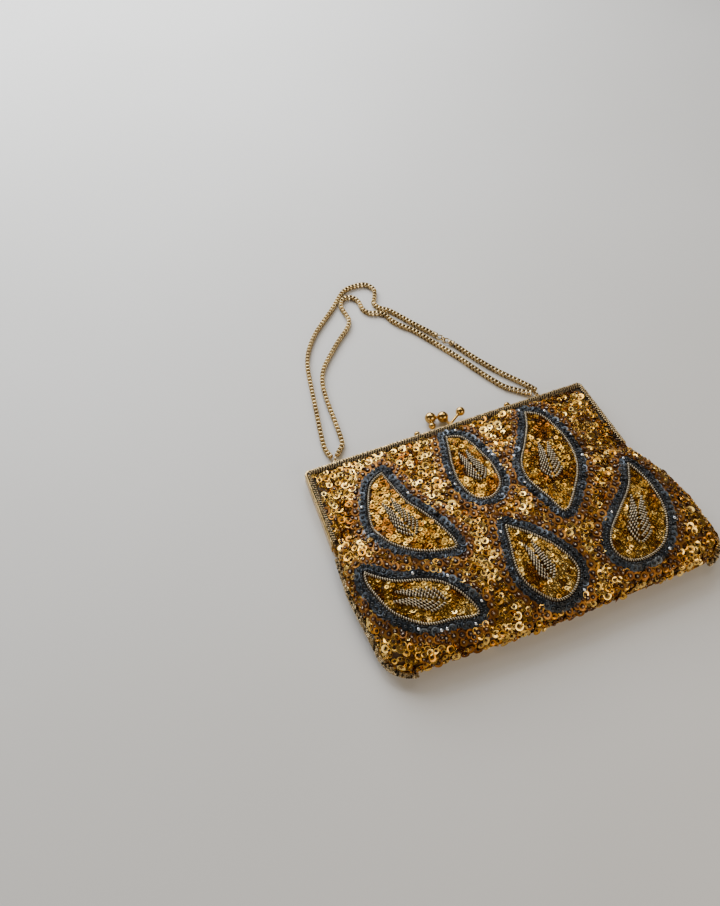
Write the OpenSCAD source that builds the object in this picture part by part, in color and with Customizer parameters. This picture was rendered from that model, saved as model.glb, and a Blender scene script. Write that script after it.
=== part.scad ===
// Beaded evening bag, lying on its back: a hinged two-part metal frame with a kiss clasp,
// a soft pouch with a lining, raised leaf motifs, and a doubled chain handle.
// +X runs to the right of the front face, +Y to the clasp, and +Z up out of the front face.

/* [Frame] */
// Width over the top bar of the frame
frame_width = 200; // [180:1:220]
// Length of the side arms, from the top edge to the hinge pins
arm_length = 58; // [54:1:60]
// How much further out each arm stands at its pin than at the top
arm_flare = 2; // [0:0.5:4]
// Width of the frame's channel, seen from the front
band_width = 6; // [5:0.5:7]
// Radius of the rounded rim that runs round the frame
rim_radius = 0.9; // [0.7:0.1:1.1]
// Thickness of the channel's plates
plate = 0.7; // [0.5:0.1:0.8]

/* [Pouch] */
// Height of the whole pouch, from the top edge down to the bottom fold
pouch_height = 144.5; // [142:0.5:148]
// Height of the full pouch above its flat back
pouch_depth = 22; // [18:0.5:26]
// Height of the side seams above the back
seam_height = 6.5; // [5.5:0.5:8]
// Half width of the pouch just under the hinges
upper_half = 99.8; // [98:0.2:100.4]
// How much wider each side is at the fullest part
belly = 7.2; // [3:0.2:8]
// How far the soft pouch leans to the right of the frame
lean = 7.5; // [0:0.5:8]
// Radius of the bottom corners
corner_radius = 17; // [10:1:22]
// Thickness of the beaded cloth
cloth = 1.2; // [0.9:0.1:1.5]

/* [Clasp] */
// Radius of the single ball
ball_radius = 3.1; // [2.8:0.1:3.4]
// Radius of the largest ball of the cluster
cluster_radius = 3.8; // [3.2:0.1:3.9]
// Radius of the two stems
stem_radius = 0.9; // [0.7:0.1:1.1]

/* [Chain] */
// Width of the box chain
chain_width = 3; // [2.4:0.1:3.2]
// Distance of the left chain eye from the middle of the frame
left_eye = 77; // [70:1:84]
// Distance of the right chain eye from the middle of the frame
right_eye = 70; // [66:1:84]

/* [Hidden] */
$fn = 48;

// Where the frame's top middle stands from the middle of the whole bag
origin_x = -6.5;
origin_y = 66;

// Heights of the frame's two halves above the table
rear_low = cloth;
rear_high = 4;
front_low = 4.3;
front_high = 7.3;
face = front_high + cloth;

// Hinge axis, and the ears on the two arms
hinge_y = -arm_length;
hinge_z = (rear_high + front_low) / 2;
ear_radius = 2.6;
ear_thick = 1.6;
ear_reach = 5.8;
ear_gap = 0.3;
front_ear_x = frame_width/2 + arm_flare - 4.6;
rear_ear_x = front_ear_x + ear_thick + ear_gap;
pin_radius = 1.2;
pin_head = [2, 0.7];
pin_washer = [1.8, 0.6];
running = 0.05;
clear_radius = 4.3;
channel_wall = 1.6;
frame_corner = 3;

// Each step of the rim: where it starts and ends above the channel, and how far in it stands
rim_steps = [[0, 0.7, 0], [0.7, 1, 0.15], [1, 1.2, 0.45]];
rim_wall = 2*rim_radius - 0.2;

// The upper part of the front face ends above the hinge and the lower part starts below it;
// the cloth between them folds
fold_top = -40;
fold_bottom = -72;
fold_gap = 0.3;
narrow_gap = 0.4;

// Radii over which the pouch's edges round off
side_round = 26;
bottom_round = 30;
back_round = 14;
belly_reach = 44;
lean_reach = 75;
rise_reach = 85;
frame_reach = 40;
left_rise = 3.5;
lining_gap = 0.3;
lining = 0.4;
layer_gap = 0.2;
lining_inset = cloth + lining_gap;
rear_lining_inset = lining_inset + layer_gap;
pocket_low = rear_lining_inset + lining + layer_gap;
pocket_at = [-45, -126];
pocket_size = [90, 60, 0.6];
trim_gap = 0.15;
trim_height = 1.25;
trim_over = 0.2;
piping = 1.6;

// Turns of the piping: where on its way it starts to turn in at the corner, and by how much
piping_start = 5;
piping_turn_at = 0.7;
piping_turn = 80;

// The cord round a leaf, the feather in it, and how far each stands off the face
leaf_cord = [0.7, 1.1];
feather_cord = [0.9, 1.4];

// Places of the clasp's parts, from the frame's top middle
front_root = [3, 1.6, (front_low + front_high) / 2];
front_ball_at = [13.7, 8.5, 5.8];
rear_root = [4.5, 1.6, (rear_low + rear_high) / 2];
knuckle_at = [1.5, 9.8, 4];
cluster_at = [-6.5, 12, 4];
bead_at = [-8, 5.8, 3.4];
knuckle_radius = 3.8;
bead_radius = 2.4;
tab_width = 2.8;
tab_thick = 0.2;
root_gap = 0.35;
root_radius = 1.3;
root_bite = 0.2;
post_radius = 0.5;
stud_radius = 2.2;
stud_at = [[-21, 1.5, 6.2], [45, 1.5, 6.2]];
stud_flat = 5;

// Chain hardware
chain_r = chain_width / 2;
eye_z = 2.7;
eye_y = 1.8;
eye_r = 2.2;
eye_wire = 0.6;
ring_r = 2;
ring_wire = 0.5;
ring_y = 4.4;
joint_from = [27.8, 81.5];
joint_dir = [0.555, -0.832];
cap_length = 3.5;
joint_z = 1.6;
cap_radius = 2;
joint_ring_r = 2.2;
joint_wire = 0.45;
link_r = 1.5;
link_wire = 0.4;
ring_step = 2.7;
joint_middle = cap_length + joint_ring_r + joint_wire + ring_step;

// Route of each strand on the table, from the frame's top middle
outer_long_route = [
    [-78.5, 7, 2.7], [-80, 15, 1.6], [-78.5, 27, 1.6], [-75, 45, 1.6], [-71, 66, 1.6],
    [-67, 85, 1.6], [-61.5, 98, 1.6], [-52, 111, 1.6], [-41, 121.5, 1.6], [-30.5, 131, 1.6],
    [-23.5, 138.5, 1.6], [-16.5, 144.5, 1.6], [-8, 146.5, 1.6], [1, 145, 1.6], [5, 138, 1.6],
    [2.5, 130.5, 1.6], [-0.5, 125, 1.6], [1.5, 119, 1.6], [8, 113, 1.6], [19, 95, 1.6],
    [27.8, 81.5, 1.6]
];
outer_short_route = [
    [37.8, 66.5, 1.6], [43, 55.5, 1.6], [49, 44, 1.6], [56.5, 31.5, 1.6], [63, 22.5, 1.6],
    [68.5, 14.5, 1.8], [72, 7.4, 2.7]
];
inner_route = [
    [-75.5, 7, 2.7], [-71, 11.5, 1.9], [-68, 15.5, 1.6], [-67, 22, 1.6], [-66, 35, 1.6],
    [-65, 51, 1.6], [-63, 65, 1.6], [-59.5, 75, 1.6], [-54, 83, 1.6], [-46, 91.5, 1.6],
    [-37.5, 100, 1.6], [-28.5, 108, 1.6], [-24, 115, 1.6], [-24, 122, 1.6], [-24.5, 130, 1.6],
    [-20.5, 136.5, 1.6], [-14, 136.5, 1.6], [-10.5, 130.5, 1.6], [-10.5, 122.5, 1.6],
    [-7.5, 117, 1.6], [-1.5, 114.5, 1.6], [3, 110.5, 1.6], [5, 104, 1.6], [9.5, 97, 1.6],
    [15.5, 90, 1.6], [20.5, 81.5, 1.6], [28, 68, 1.6], [35.5, 54, 1.6], [41.5, 41, 1.6],
    [47.5, 29, 1.6], [53, 19.5, 1.6], [59, 14, 1.6], [64, 9.7, 1.9], [68.4, 6.7, 2.7]
];

// Outline of each leaf, from its tip round to the same tip
upper_left_leaf = [
    [-56, -21], [-54, -35], [-51, -49], [-46, -59], [-41, -72], [-38, -87],
    [-50, -86], [-63, -80], [-73, -70], [-76, -56], [-72, -39], [-65, -26]
];
upper_middle_leaf = [
    [-6, -10], [2, -13], [6, -21], [8, -32], [9, -44], [6, -58],
    [-4, -65], [-13, -61], [-16, -48], [-13, -32], [-9, -20]
];
upper_right_leaf = [
    [51, -11], [59, -17], [62, -30], [62, -45], [57, -62], [48, -75], [32, -90],
    [27, -78], [23, -62], [26, -49], [36, -36], [46, -22]
];
right_leaf = [
    [85, -75], [88, -88], [88, -104], [84, -117], [75, -128], [61, -132],
    [49, -129], [45, -120], [50, -111], [62, -101], [75, -90], [82, -80]
];
lower_left_leaf = [
    [-92, -82], [-86, -89], [-78, -95], [-66, -99], [-55, -105], [-47, -116], [-44, -127],
    [-58, -125], [-74, -122], [-86, -111], [-91, -98], [-93, -88]
];
bottom_middle_leaf = [
    [-6, -86], [5, -96], [15, -109], [20, -124], [12, -134], [0, -135],
    [-10, -125], [-13, -113], [-9, -97]
];

// Feather of each leaf: the quill's foot and its point
upper_left_feather = [[-57, -74], [-62, -42]];
upper_middle_feather = [[-2, -53], [-3, -25]];
upper_right_feather = [[37, -69], [47, -39]];
right_feather = [[61, -125], [76, -96]];
lower_left_feather = [[-57, -116], [-84, -102]];
bottom_middle_feather = [[3, -126], [0, -100]];

function smooth(t) = let (c = min(max(t, 0), 1)) c * c * (3 - 2*c);
function round_off(d, reach, power) =
    pow(1 - pow(1 - min(max(d / reach, 0), 1), power), 1 / power);

// Outer edge of the frame's arm at height y, moved in by e
function arm_x(y, e) = frame_width/2 - arm_flare * y / arm_length - e;

// Plan of the pouch: its half width, its lean, and how far down it reaches
below_arm = arm_length + 2;
function ease(t) = sin(90 * min(max(t, 0), 1));
function cloth_half(y) = y > -below_arm
    ? arm_x(y, 2 * rim_radius)
    : upper_half + belly * ease((-below_arm - y) / belly_reach);
function cloth_middle(y) = lean * ease((-below_arm - y) / lean_reach);
function cloth_depth(x) = pouch_height - left_rise * smooth((-x - 10) / 70);
function corner_cut(up) = up >= corner_radius ? 0
    : corner_radius - sqrt(corner_radius*corner_radius - pow(corner_radius - max(up, 0), 2));

// Height of the front face at a point, for a surface that lies inset deep in the cloth
function front_height(x, y, inset) =
    let (up = cloth_depth(x) + y - inset)
    let (in = cloth_half(y) - corner_cut(up) - abs(x - cloth_middle(y)) - inset)
    let (below = smooth((-y - arm_length + 6) / 14))
    let (rise = pow(smooth((-y - 4) / rise_reach), 0.8))
    let (framed = pow(smooth((in - 5.5 + inset) / frame_reach), 0.8))
    let (free = round_off(in, side_round, 2.4))
    let (foot = (face - inset) * (1 - below) + seam_height * below)
    let (full = framed + (free - framed) * below)
    foot + (pouch_depth - inset - foot) * rise * full * round_off(up, bottom_round, 2.2);

// Height of the back, which is flat in the middle and turns up to the seams
function back_height(x, y, inset) =
    let (up = cloth_depth(x) + y - inset)
    let (in = cloth_half(y) - corner_cut(up) - abs(x - cloth_middle(y)) - inset)
    let (below = smooth((-y - arm_length - 6) / 10))
    let (flat = round_off(in, back_round, 2) * round_off(up, back_round, 2))
    inset + (seam_height - inset) * below * (1 - flat);

// A point of the pouch's plan: u across from -1 to 1, t down from row y0 to y1
function plan_point(u, t, y0, y1, inset, narrow) =
    let (end = y1 <= -pouch_height)
    let (y = y0 + (y1 - y0) * t)
    let (up = end ? (y - y1) : corner_radius)
    let (half = (narrow && y > -arm_length - 3 ? arm_x(y, band_width + narrow_gap) : cloth_half(y))
        - corner_cut(up) - inset)
    let (x = cloth_middle(y) + u * half)
    let (low = end ? -cloth_depth(x) + inset : y1)
    [x, y0 + (low - y0) * t];

// Rows that crowd together towards the bottom fold, and columns towards the sides
function row_t(i, rows, crowd) = crowd ? sin(90 * i / rows) : i / rows;
function column_u(j, columns) = sin(90 * (2 * j / columns - 1));

function front_grid(y0, y1, rows, columns, inset, narrow) = [
    for (i = [0:rows]) for (j = [0:columns])
        let (p = plan_point(column_u(j, columns), row_t(i, rows, y1 <= -pouch_height),
            y0, y1, inset, narrow))
        [p[0], p[1], front_height(p[0], p[1], inset)]
];
function back_grid(y0, y1, rows, columns, inset, narrow) = [
    for (i = [0:rows]) for (j = [0:columns])
        let (p = plan_point(column_u(j, columns), row_t(i, rows, y1 <= -pouch_height),
            y0, y1, inset, narrow))
        [p[0], p[1], back_height(p[0], p[1], inset)]
];

// A closed shell between an upper and a lower grid of points
module shell(upper, lower, rows, columns) {
    n = columns + 1;
    m = (rows + 1) * n;
    top = [for (i = [0:rows-1]) for (j = [0:columns-1])
        each [[i*n + j, (i+1)*n + j + 1, i*n + j + 1], [i*n + j, (i+1)*n + j, (i+1)*n + j + 1]]];
    bottom = [for (f = top) [m + f[0], m + f[2], m + f[1]]];
    border = concat(
        [for (j = [0:columns-1]) j],
        [for (i = [0:rows-1]) i*n + columns],
        [for (j = [columns:-1:1]) rows*n + j],
        [for (i = [rows:-1:1]) i*n]
    );
    count = len(border);
    wall = [for (k = [0:count-1])
        let (a = border[k], b = border[(k + 1) % count])
        each [[a, b, m + b], [a, m + b, m + a]]];
    polyhedron(points = concat(upper, lower), faces = concat(top, bottom, wall));
}

module back_shell(y0, outer, inner, narrow) {
    shell(
        back_grid(y0, -pouch_height, 20, 24, inner, narrow),
        back_grid(y0, -pouch_height, 20, 24, outer, narrow),
        20, 24
    );
}

module front_shell(y0, y1, rows, columns, outer, inner, narrow = false) {
    shell(
        front_grid(y0, y1, rows, columns, outer, narrow),
        front_grid(y0, y1, rows, columns, inner, narrow),
        rows, columns
    );
}

// Points along a smooth open curve through a route
function curve_at(p, i, t) =
    let (n = len(p) - 1)
    let (a = p[max(i - 1, 0)], b = p[i], c = p[min(i + 1, n)], d = p[min(i + 2, n)])
    0.5 * (2*b + (c - a)*t + (2*a - 5*b + 4*c - d)*t*t + (3*b - a - 3*c + d)*t*t*t);
function curve(p, steps) = concat(
    [for (i = [0:len(p)-2]) for (s = [0:steps-1]) curve_at(p, i, s / steps)],
    [p[len(p)-1]]
);
function unit(v) = v / norm(v);

// A tube swept along a list of points, flat-ended
module tube(path, radius, sides) {
    n = len(path);
    points = [for (i = [0:n-1])
        let (along = unit(path[min(i + 1, n - 1)] - path[max(i - 1, 0)]))
        let (across = unit(cross([0, 0, 1], along)))
        let (over = cross(along, across))
        for (k = [0:sides-1])
            path[i] + radius * (cos(360*k/sides) * across + sin(360*k/sides) * over)];
    walls = [for (i = [0:n-2]) for (k = [0:sides-1])
        let (a = i*sides + k, b = i*sides + (k + 1) % sides)
        each [[a, b + sides, b], [a, a + sides, b + sides]]];
    ends = [[for (k = [0:sides-1]) k], [for (k = [sides-1:-1:0]) (n - 1)*sides + k]];
    polyhedron(points = points, faces = concat(walls, ends));
}

// A rod between two points
module rod(a, b, radius) {
    v = b - a;
    translate(a)
        rotate([0, acos(v[2] / norm(v)), atan2(v[1], v[0])])
            cylinder(h = norm(v), r = radius);
}

module ring(radius, wire) {
    rotate_extrude() translate([radius, 0]) circle(r = wire);
}

// Plan of the frame's band between the insets e1 and e2, with arms down to y_end
function band_arc(side, e) = [
    for (i = [0:6])
        let (a = side > 0 ? 90 - 15*i : 90 + 15*(6 - i))
        [side * (frame_width/2 - frame_corner) + (frame_corner - e) * cos(a),
            -frame_corner + (frame_corner - e) * sin(a)]
];
function band_plan(e1, e2, y_end) = concat(
    [[-arm_x(y_end, e1), y_end]], band_arc(-1, e1), band_arc(1, e1), [[arm_x(y_end, e1), y_end]],
    [[arm_x(y_end, e2), y_end], [arm_x(-e2, e2), -e2]],
    [[-arm_x(-e2, e2), -e2], [-arm_x(y_end, e2), y_end]]
);

// Lip along the outer edge of a frame half, stepped in to round it off:
// it grows from height z, upwards for the front half and downwards for the rear half
module rim(z, up) {
    for (step = rim_steps)
        translate([0, 0, up ? z + step[0] : z - step[1]])
            linear_extrude(step[1] - step[0])
                polygon(band_plan(step[2], rim_wall - step[2], hinge_y + clear_radius + 0.5));
}

// One half of the frame: a channel with its rim, and an ear at the end of each arm
module frame_half(low, high, up, ear_x, bore) {
    difference() {
        union() {
            difference() {
                translate([0, 0, low])
                    linear_extrude(high - low)
                        polygon(band_plan(0, band_width, -arm_length));
                translate([0, 0, low + plate])
                    linear_extrude(high - low - 2*plate)
                        polygon(band_plan(channel_wall, band_width + 1, -arm_length - 1));
                translate([-frame_width, hinge_y, hinge_z])
                    rotate([0, 90, 0]) cylinder(h = 2*frame_width, r = clear_radius);
            }
            rim(up ? high : low, up);
            for (side = [-1, 1]) {
                x = side > 0 ? ear_x : -ear_x - ear_thick;
                translate([x, hinge_y, low]) cube([ear_thick, ear_reach, high - low]);
                translate([x, hinge_y, hinge_z])
                    rotate([0, 90, 0]) cylinder(h = ear_thick, r = ear_radius);
            }
        }
        for (side = [-1, 1])
            translate([side > 0 ? ear_x - 1 : -ear_x - ear_thick - 1, hinge_y, hinge_z])
                rotate([0, 90, 0]) cylinder(h = ear_thick + 2, r = bore);
    }
}

// A thin tab on the frame's top edge with the post that a clasp stem turns on
module clasp_seat(root, low, top) {
    translate([root[0] - tab_width/2, -1, low]) cube([tab_width, root[1] + 1, tab_thick]);
    translate([root[0], root[1], low]) cylinder(h = tab_thick, r = tab_width/2);
    translate([root[0], root[1], low]) cylinder(h = top - low, r = post_radius);
}

module clasp_root(root, low, top) {
    difference() {
        translate([root[0], root[1], low]) cylinder(h = top - low, r = root_radius);
        translate([root[0], root[1], low - 1]) cylinder(h = top - low + 2, r = post_radius + running);
    }
}

module rear_frame() color("goldenrod") {
    frame_half(rear_low, rear_high, false, rear_ear_x, pin_radius);
    clasp_seat(rear_root, rear_low, rear_high - 0.3);
}

module front_frame() color("goldenrod") {
    frame_half(front_low, front_high, true, front_ear_x, pin_radius + running);
    clasp_seat(front_root, front_low, front_high - 0.3);
}

module hinge_pin(side) color("darkgoldenrod") {
    inner = front_ear_x - pin_washer[1] - ear_gap;
    outer = rear_ear_x + ear_thick;
    mirror([side < 0 ? 1 : 0, 0, 0]) translate([0, hinge_y, hinge_z]) rotate([0, 90, 0]) {
        translate([0, 0, inner]) cylinder(h = outer - inner + 0.1, r = pin_radius);
        translate([0, 0, inner]) cylinder(h = pin_washer[1], r = pin_washer[0]);
        translate([0, 0, outer]) cylinder(h = pin_head[1], r = pin_head[0]);
    }
}

module front_clasp_stem() color("gold") {
    clasp_root(front_root, front_low + root_gap, front_high - root_gap);
    difference() {
        rod(front_root, front_ball_at, stem_radius);
        translate([front_root[0], front_root[1], 0]) cylinder(h = 20, r = root_radius - root_bite);
        translate(front_ball_at) sphere(r = ball_radius);
    }
}

module front_clasp_ball() color("gold") {
    translate(front_ball_at) sphere(r = ball_radius);
}

module rear_clasp_stem() color("gold") {
    clasp_root(rear_root, rear_low + root_gap, rear_high - root_gap);
    difference() {
        union() {
            rod(rear_root, knuckle_at, stem_radius);
            rod(knuckle_at, cluster_at, stem_radius);
        }
        translate([rear_root[0], rear_root[1], 0]) cylinder(h = 20, r = root_radius - root_bite);
        translate(knuckle_at) sphere(r = knuckle_radius);
        translate(cluster_at) sphere(r = cluster_radius);
    }
}

module rear_clasp_ball() color("gold") {
    translate(cluster_at) sphere(r = cluster_radius);
}

module rear_clasp_knuckle() color("gold") {
    translate(knuckle_at) sphere(r = knuckle_radius);
}

module rear_clasp_bead() color("gold") {
    translate(bead_at) sphere(r = bead_radius);
}

module frame_stud(k) color("gold") {
    difference() {
        translate(stud_at[k]) sphere(r = stud_radius);
        translate([stud_at[k][0] - stud_flat/2, -stud_flat, 0]) cube([stud_flat, stud_flat, 2*face]);
    }
}

function eye_x(side) = side < 0 ? -left_eye : right_eye;

module chain_eye(side) color("gold") {
    difference() {
        translate([eye_x(side), eye_y, eye_z]) ring(eye_r, eye_wire);
        translate([eye_x(side) - 5, -5, 0]) cube([10, 5, 2*eye_z]);
    }
}

module chain_ring(side) color("gold") {
    translate([eye_x(side), ring_y, eye_z]) rotate([0, 90, 0]) ring(ring_r, ring_wire);
}

module strand(route) color("goldenrod") {
    tube(route, chain_r, 8);
}

// A place along the joint in the outer strand
function joint_at(s, z) =
    [joint_from[0] + joint_dir[0]*s, joint_from[1] + joint_dir[1]*s, z];

module chain_cap(s) color("gold") {
    rod(joint_at(s, cap_radius), joint_at(s + cap_length, cap_radius), cap_radius);
}

module joint_ring(s) color("gold") {
    translate(joint_at(s, joint_z)) ring(joint_ring_r, joint_wire);
}

module joint_link() color("gold") {
    translate(joint_at(joint_middle, link_r + link_wire))
        rotate([90, 0, atan2(joint_dir[1], joint_dir[0])])
            ring(link_r, link_wire);
}

module rear_panel() color("tan") {
    back_shell(-2 * rim_radius, 0, cloth, false);
}

module front_panel_upper() color("goldenrod") {
    front_shell(-2 * rim_radius, fold_top, 8, 28, 0, cloth);
}

module front_crease() color("goldenrod") {
    front_shell(fold_top - fold_gap, fold_bottom + fold_gap, 7, 28, 0, cloth, true);
}

module front_panel_lower() color("goldenrod") {
    front_shell(fold_bottom, -pouch_height, 18, 32, 0, cloth);
}

module rear_lining() color("antiquewhite") {
    back_shell(-band_width - 2, rear_lining_inset, rear_lining_inset + lining, true);
}

module front_lining_upper() color("antiquewhite") {
    front_shell(-band_width - 1, fold_top, 8, 28, lining_inset, lining_inset + lining, true);
}

module front_lining_crease() color("antiquewhite") {
    front_shell(fold_top - fold_gap, fold_bottom + fold_gap, 7, 28,
        lining_inset, lining_inset + lining, true);
}

module front_lining_lower() color("antiquewhite") {
    front_shell(fold_bottom, -pouch_height, 18, 32, lining_inset, lining_inset + lining);
}

module inner_pocket() color("antiquewhite") {
    translate([pocket_at[0], pocket_at[1], pocket_low]) cube(pocket_size);
}

// Band of beads sewn on the front of the frame, just inside its rim
module front_edge_trim() color("dimgray") {
    arm_end = hinge_y + clear_radius + 1;
    translate([0, 0, face + trim_gap])
        linear_extrude(trim_height) polygon(band_plan(2 * rim_radius, band_width + trim_over, arm_end));
    difference() {
        translate([0, 0, front_high])
            linear_extrude(cloth) polygon(band_plan(2 * rim_radius, band_width, arm_end));
        translate([-frame_width, fold_top - fold_gap, 0]) cube([2*frame_width, 2*frame_width, 20]);
    }
}

// Beads along the side seam, from the hinge down and a turn round the bottom corner
function piping_point(side, t) =
    let (start = hinge_y - piping_start, bend = corner_radius - pouch_height)
    let (y = start + (bend - start) * min(t / piping_turn_at, 1))
    let (turn = piping_turn * max(t - piping_turn_at, 0) / (1 - piping_turn_at))
    let (reach = corner_radius + piping)
    let (x = cloth_middle(y) + side * (cloth_half(y) + piping - reach * (1 - cos(turn))))
    let (low = y - reach * sin(turn))
    let (stretch = (cloth_depth(x) + fold_bottom) / (pouch_height + fold_bottom))
    [x, low > fold_bottom ? low : fold_bottom + (low - fold_bottom) * stretch, seam_height];

module side_piping(side) color("dimgray") {
    tube([for (i = [0:24]) piping_point(side, i / 24)], piping, 8);
}

// Raised cord along a leaf's outline, and its feather, on the front face
function on_front(p, lift) = [p[0], p[1], front_height(p[0], p[1], 0) + lift];

module leaf(outline, feather) color("silver") {
    edge = curve(concat(outline, [outline[0]]), 2);
    tube([for (i = [0:len(edge)-2]) on_front(edge[i], leaf_cord[1])], leaf_cord[0], 6);
    quill = [for (i = [0:4]) feather[0] + (feather[1] - feather[0]) * i / 4];
    tube([for (p = quill) on_front(p, feather_cord[1])], feather_cord[0], 6);
}

module leaf_upper_left() leaf(upper_left_leaf, upper_left_feather);
module leaf_upper_middle() leaf(upper_middle_leaf, upper_middle_feather);
module leaf_upper_right() leaf(upper_right_leaf, upper_right_feather);
module leaf_right() leaf(right_leaf, right_feather);
module leaf_lower_left() leaf(lower_left_leaf, lower_left_feather);
module leaf_bottom_middle() leaf(bottom_middle_leaf, bottom_middle_feather);

module placed() {
    translate([origin_x, origin_y, 0]) children();
}

placed() rear_frame();
placed() front_frame();
placed() hinge_pin(-1);  // hinge_pin_left
placed() hinge_pin(1);  // hinge_pin_right
placed() front_clasp_stem();
placed() front_clasp_ball();
placed() rear_clasp_stem();
placed() rear_clasp_ball();
placed() rear_clasp_knuckle();
placed() rear_clasp_bead();
placed() frame_stud(0);  // frame_stud_left
placed() frame_stud(1);  // frame_stud_right
placed() chain_eye(-1);  // chain_eye_left
placed() chain_eye(1);  // chain_eye_right
placed() chain_ring(-1);  // chain_ring_left
placed() chain_ring(1);  // chain_ring_right
placed() strand(outer_long_route);  // chain_outer_long
placed() strand(outer_short_route);  // chain_outer_short
placed() strand(inner_route);  // chain_inner
placed() chain_cap(0);  // chain_cap_upper
placed() chain_cap(2*joint_middle - cap_length);  // chain_cap_lower
placed() joint_ring(joint_middle - ring_step);  // joint_ring_upper
placed() joint_ring(joint_middle + ring_step);  // joint_ring_lower
placed() joint_link();
placed() rear_panel();
placed() front_panel_upper();
placed() front_crease();
placed() front_panel_lower();
placed() rear_lining();
placed() front_lining_upper();
placed() front_lining_crease();
placed() front_lining_lower();
placed() inner_pocket();
placed() front_edge_trim();
placed() side_piping(-1);  // side_piping_left
placed() side_piping(1);  // side_piping_right
placed() leaf_upper_left();
placed() leaf_upper_middle();
placed() leaf_upper_right();
placed() leaf_right();
placed() leaf_lower_left();
placed() leaf_bottom_middle();
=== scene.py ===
"""Beaded evening bag, lying on its back. Lengths are millimetres from the middle of the frame's
top edge, as in the part's source, and build() turns them into the row frame's metres."""
import math

import bpy
import numpy as np
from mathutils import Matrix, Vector
from mathutils.bvhtree import BVHTree


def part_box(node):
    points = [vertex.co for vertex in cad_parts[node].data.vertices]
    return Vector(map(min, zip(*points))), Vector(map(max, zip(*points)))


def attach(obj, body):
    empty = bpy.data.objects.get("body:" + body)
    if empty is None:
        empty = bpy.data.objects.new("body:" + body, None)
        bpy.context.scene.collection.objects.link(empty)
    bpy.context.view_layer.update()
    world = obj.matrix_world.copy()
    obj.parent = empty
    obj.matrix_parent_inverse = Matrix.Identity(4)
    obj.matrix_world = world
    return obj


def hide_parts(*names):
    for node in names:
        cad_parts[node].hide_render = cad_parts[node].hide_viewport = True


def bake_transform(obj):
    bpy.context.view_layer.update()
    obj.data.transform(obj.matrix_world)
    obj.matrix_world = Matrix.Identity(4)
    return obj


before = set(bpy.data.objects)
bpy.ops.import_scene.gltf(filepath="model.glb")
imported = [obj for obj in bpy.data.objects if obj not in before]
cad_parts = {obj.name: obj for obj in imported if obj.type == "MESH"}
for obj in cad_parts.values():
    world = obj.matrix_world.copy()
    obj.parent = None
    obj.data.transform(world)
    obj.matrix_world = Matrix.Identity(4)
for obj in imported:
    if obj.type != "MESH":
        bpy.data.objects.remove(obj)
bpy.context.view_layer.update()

scene = bpy.context.scene
rng = np.random.default_rng(11)
MM = 0.001
UP = np.array([0, 0, 1.0])

# Driving dimensions, the same as the part's
FRAME_WIDTH, ARM_LENGTH, ARM_FLARE, FRAME_CORNER = 200.0, 58.0, 2.0, 3
BAND, RIM = 6.0, 0.9
POUCH_HEIGHT, POUCH_DEPTH, SEAM = 144.5, 22.0, 6.5
UPPER_HALF, BELLY, LEAN, CORNER, LEFT_RISE = 99.8, 7.2, 7.5, 17.0, 3.5
BELOW_ARM, BELLY_REACH, LEAN_REACH, RISE_REACH, FRAME_REACH = 60.0, 44.0, 75.0, 85.0, 40.0
SIDE_ROUND, BOTTOM_ROUND, BACK_ROUND = 26.0, 30.0, 14.0
FACE, FRONT_HIGH, REAR_LOW = 8.5, 7.3, 1.2
FOLD_TOP, FOLD_BOTTOM = -40.0, -72.0
LINING_INSET, REAR_LINING_INSET, LINING = 1.5, 1.7, 0.4
PIPING = 1.6

# The frame's middle and its top edge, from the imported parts
frame_low, frame_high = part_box("front_frame")
TOP_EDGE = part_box("rear_panel")[1].y / MM + 2 * RIM
ORIGIN = np.array([(frame_low.x + frame_high.x) / 2 / MM, TOP_EDGE, 0.0])


def to_row(points):
    """Points in millimetres from the frame's top middle, in the row frame's metres."""
    return (np.asarray(points, float) + ORIGIN) * MM


# ---------------------------------------------------------------- camera and light

SENSOR_WIDTH, LENS = 36.0, 38.0
CAMERA_PLACE = (-168.2, -245.3, 411.2)
CAMERA_ANGLES = (33.6, -0.97, -21.97)


def make_camera():
    """The photograph's viewpoint: high, from the lower left, with the bag right of the middle."""
    data = bpy.data.cameras.new("camera")
    data.sensor_fit = "HORIZONTAL"
    data.sensor_width = SENSOR_WIDTH
    data.lens = LENS
    camera = bpy.data.objects.new("camera", data)
    scene.collection.objects.link(camera)
    camera.location = to_row(CAMERA_PLACE)
    camera.rotation_euler = [math.radians(a) for a in CAMERA_ANGLES]
    scene.camera = camera


make_camera()


def area_light(name, place, target, size, power, colour):
    data = bpy.data.lights.new(name, "AREA")
    data.shape = "RECTANGLE"
    data.size, data.size_y = size
    data.energy = power
    data.color = colour
    light = bpy.data.objects.new(name, data)
    scene.collection.objects.link(light)
    light.location = place
    direction = Vector(target) - Vector(place)
    light.rotation_euler = direction.to_track_quat("-Z", "Y").to_euler()


# ---------------------------------------------------------------- chain routes

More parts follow.
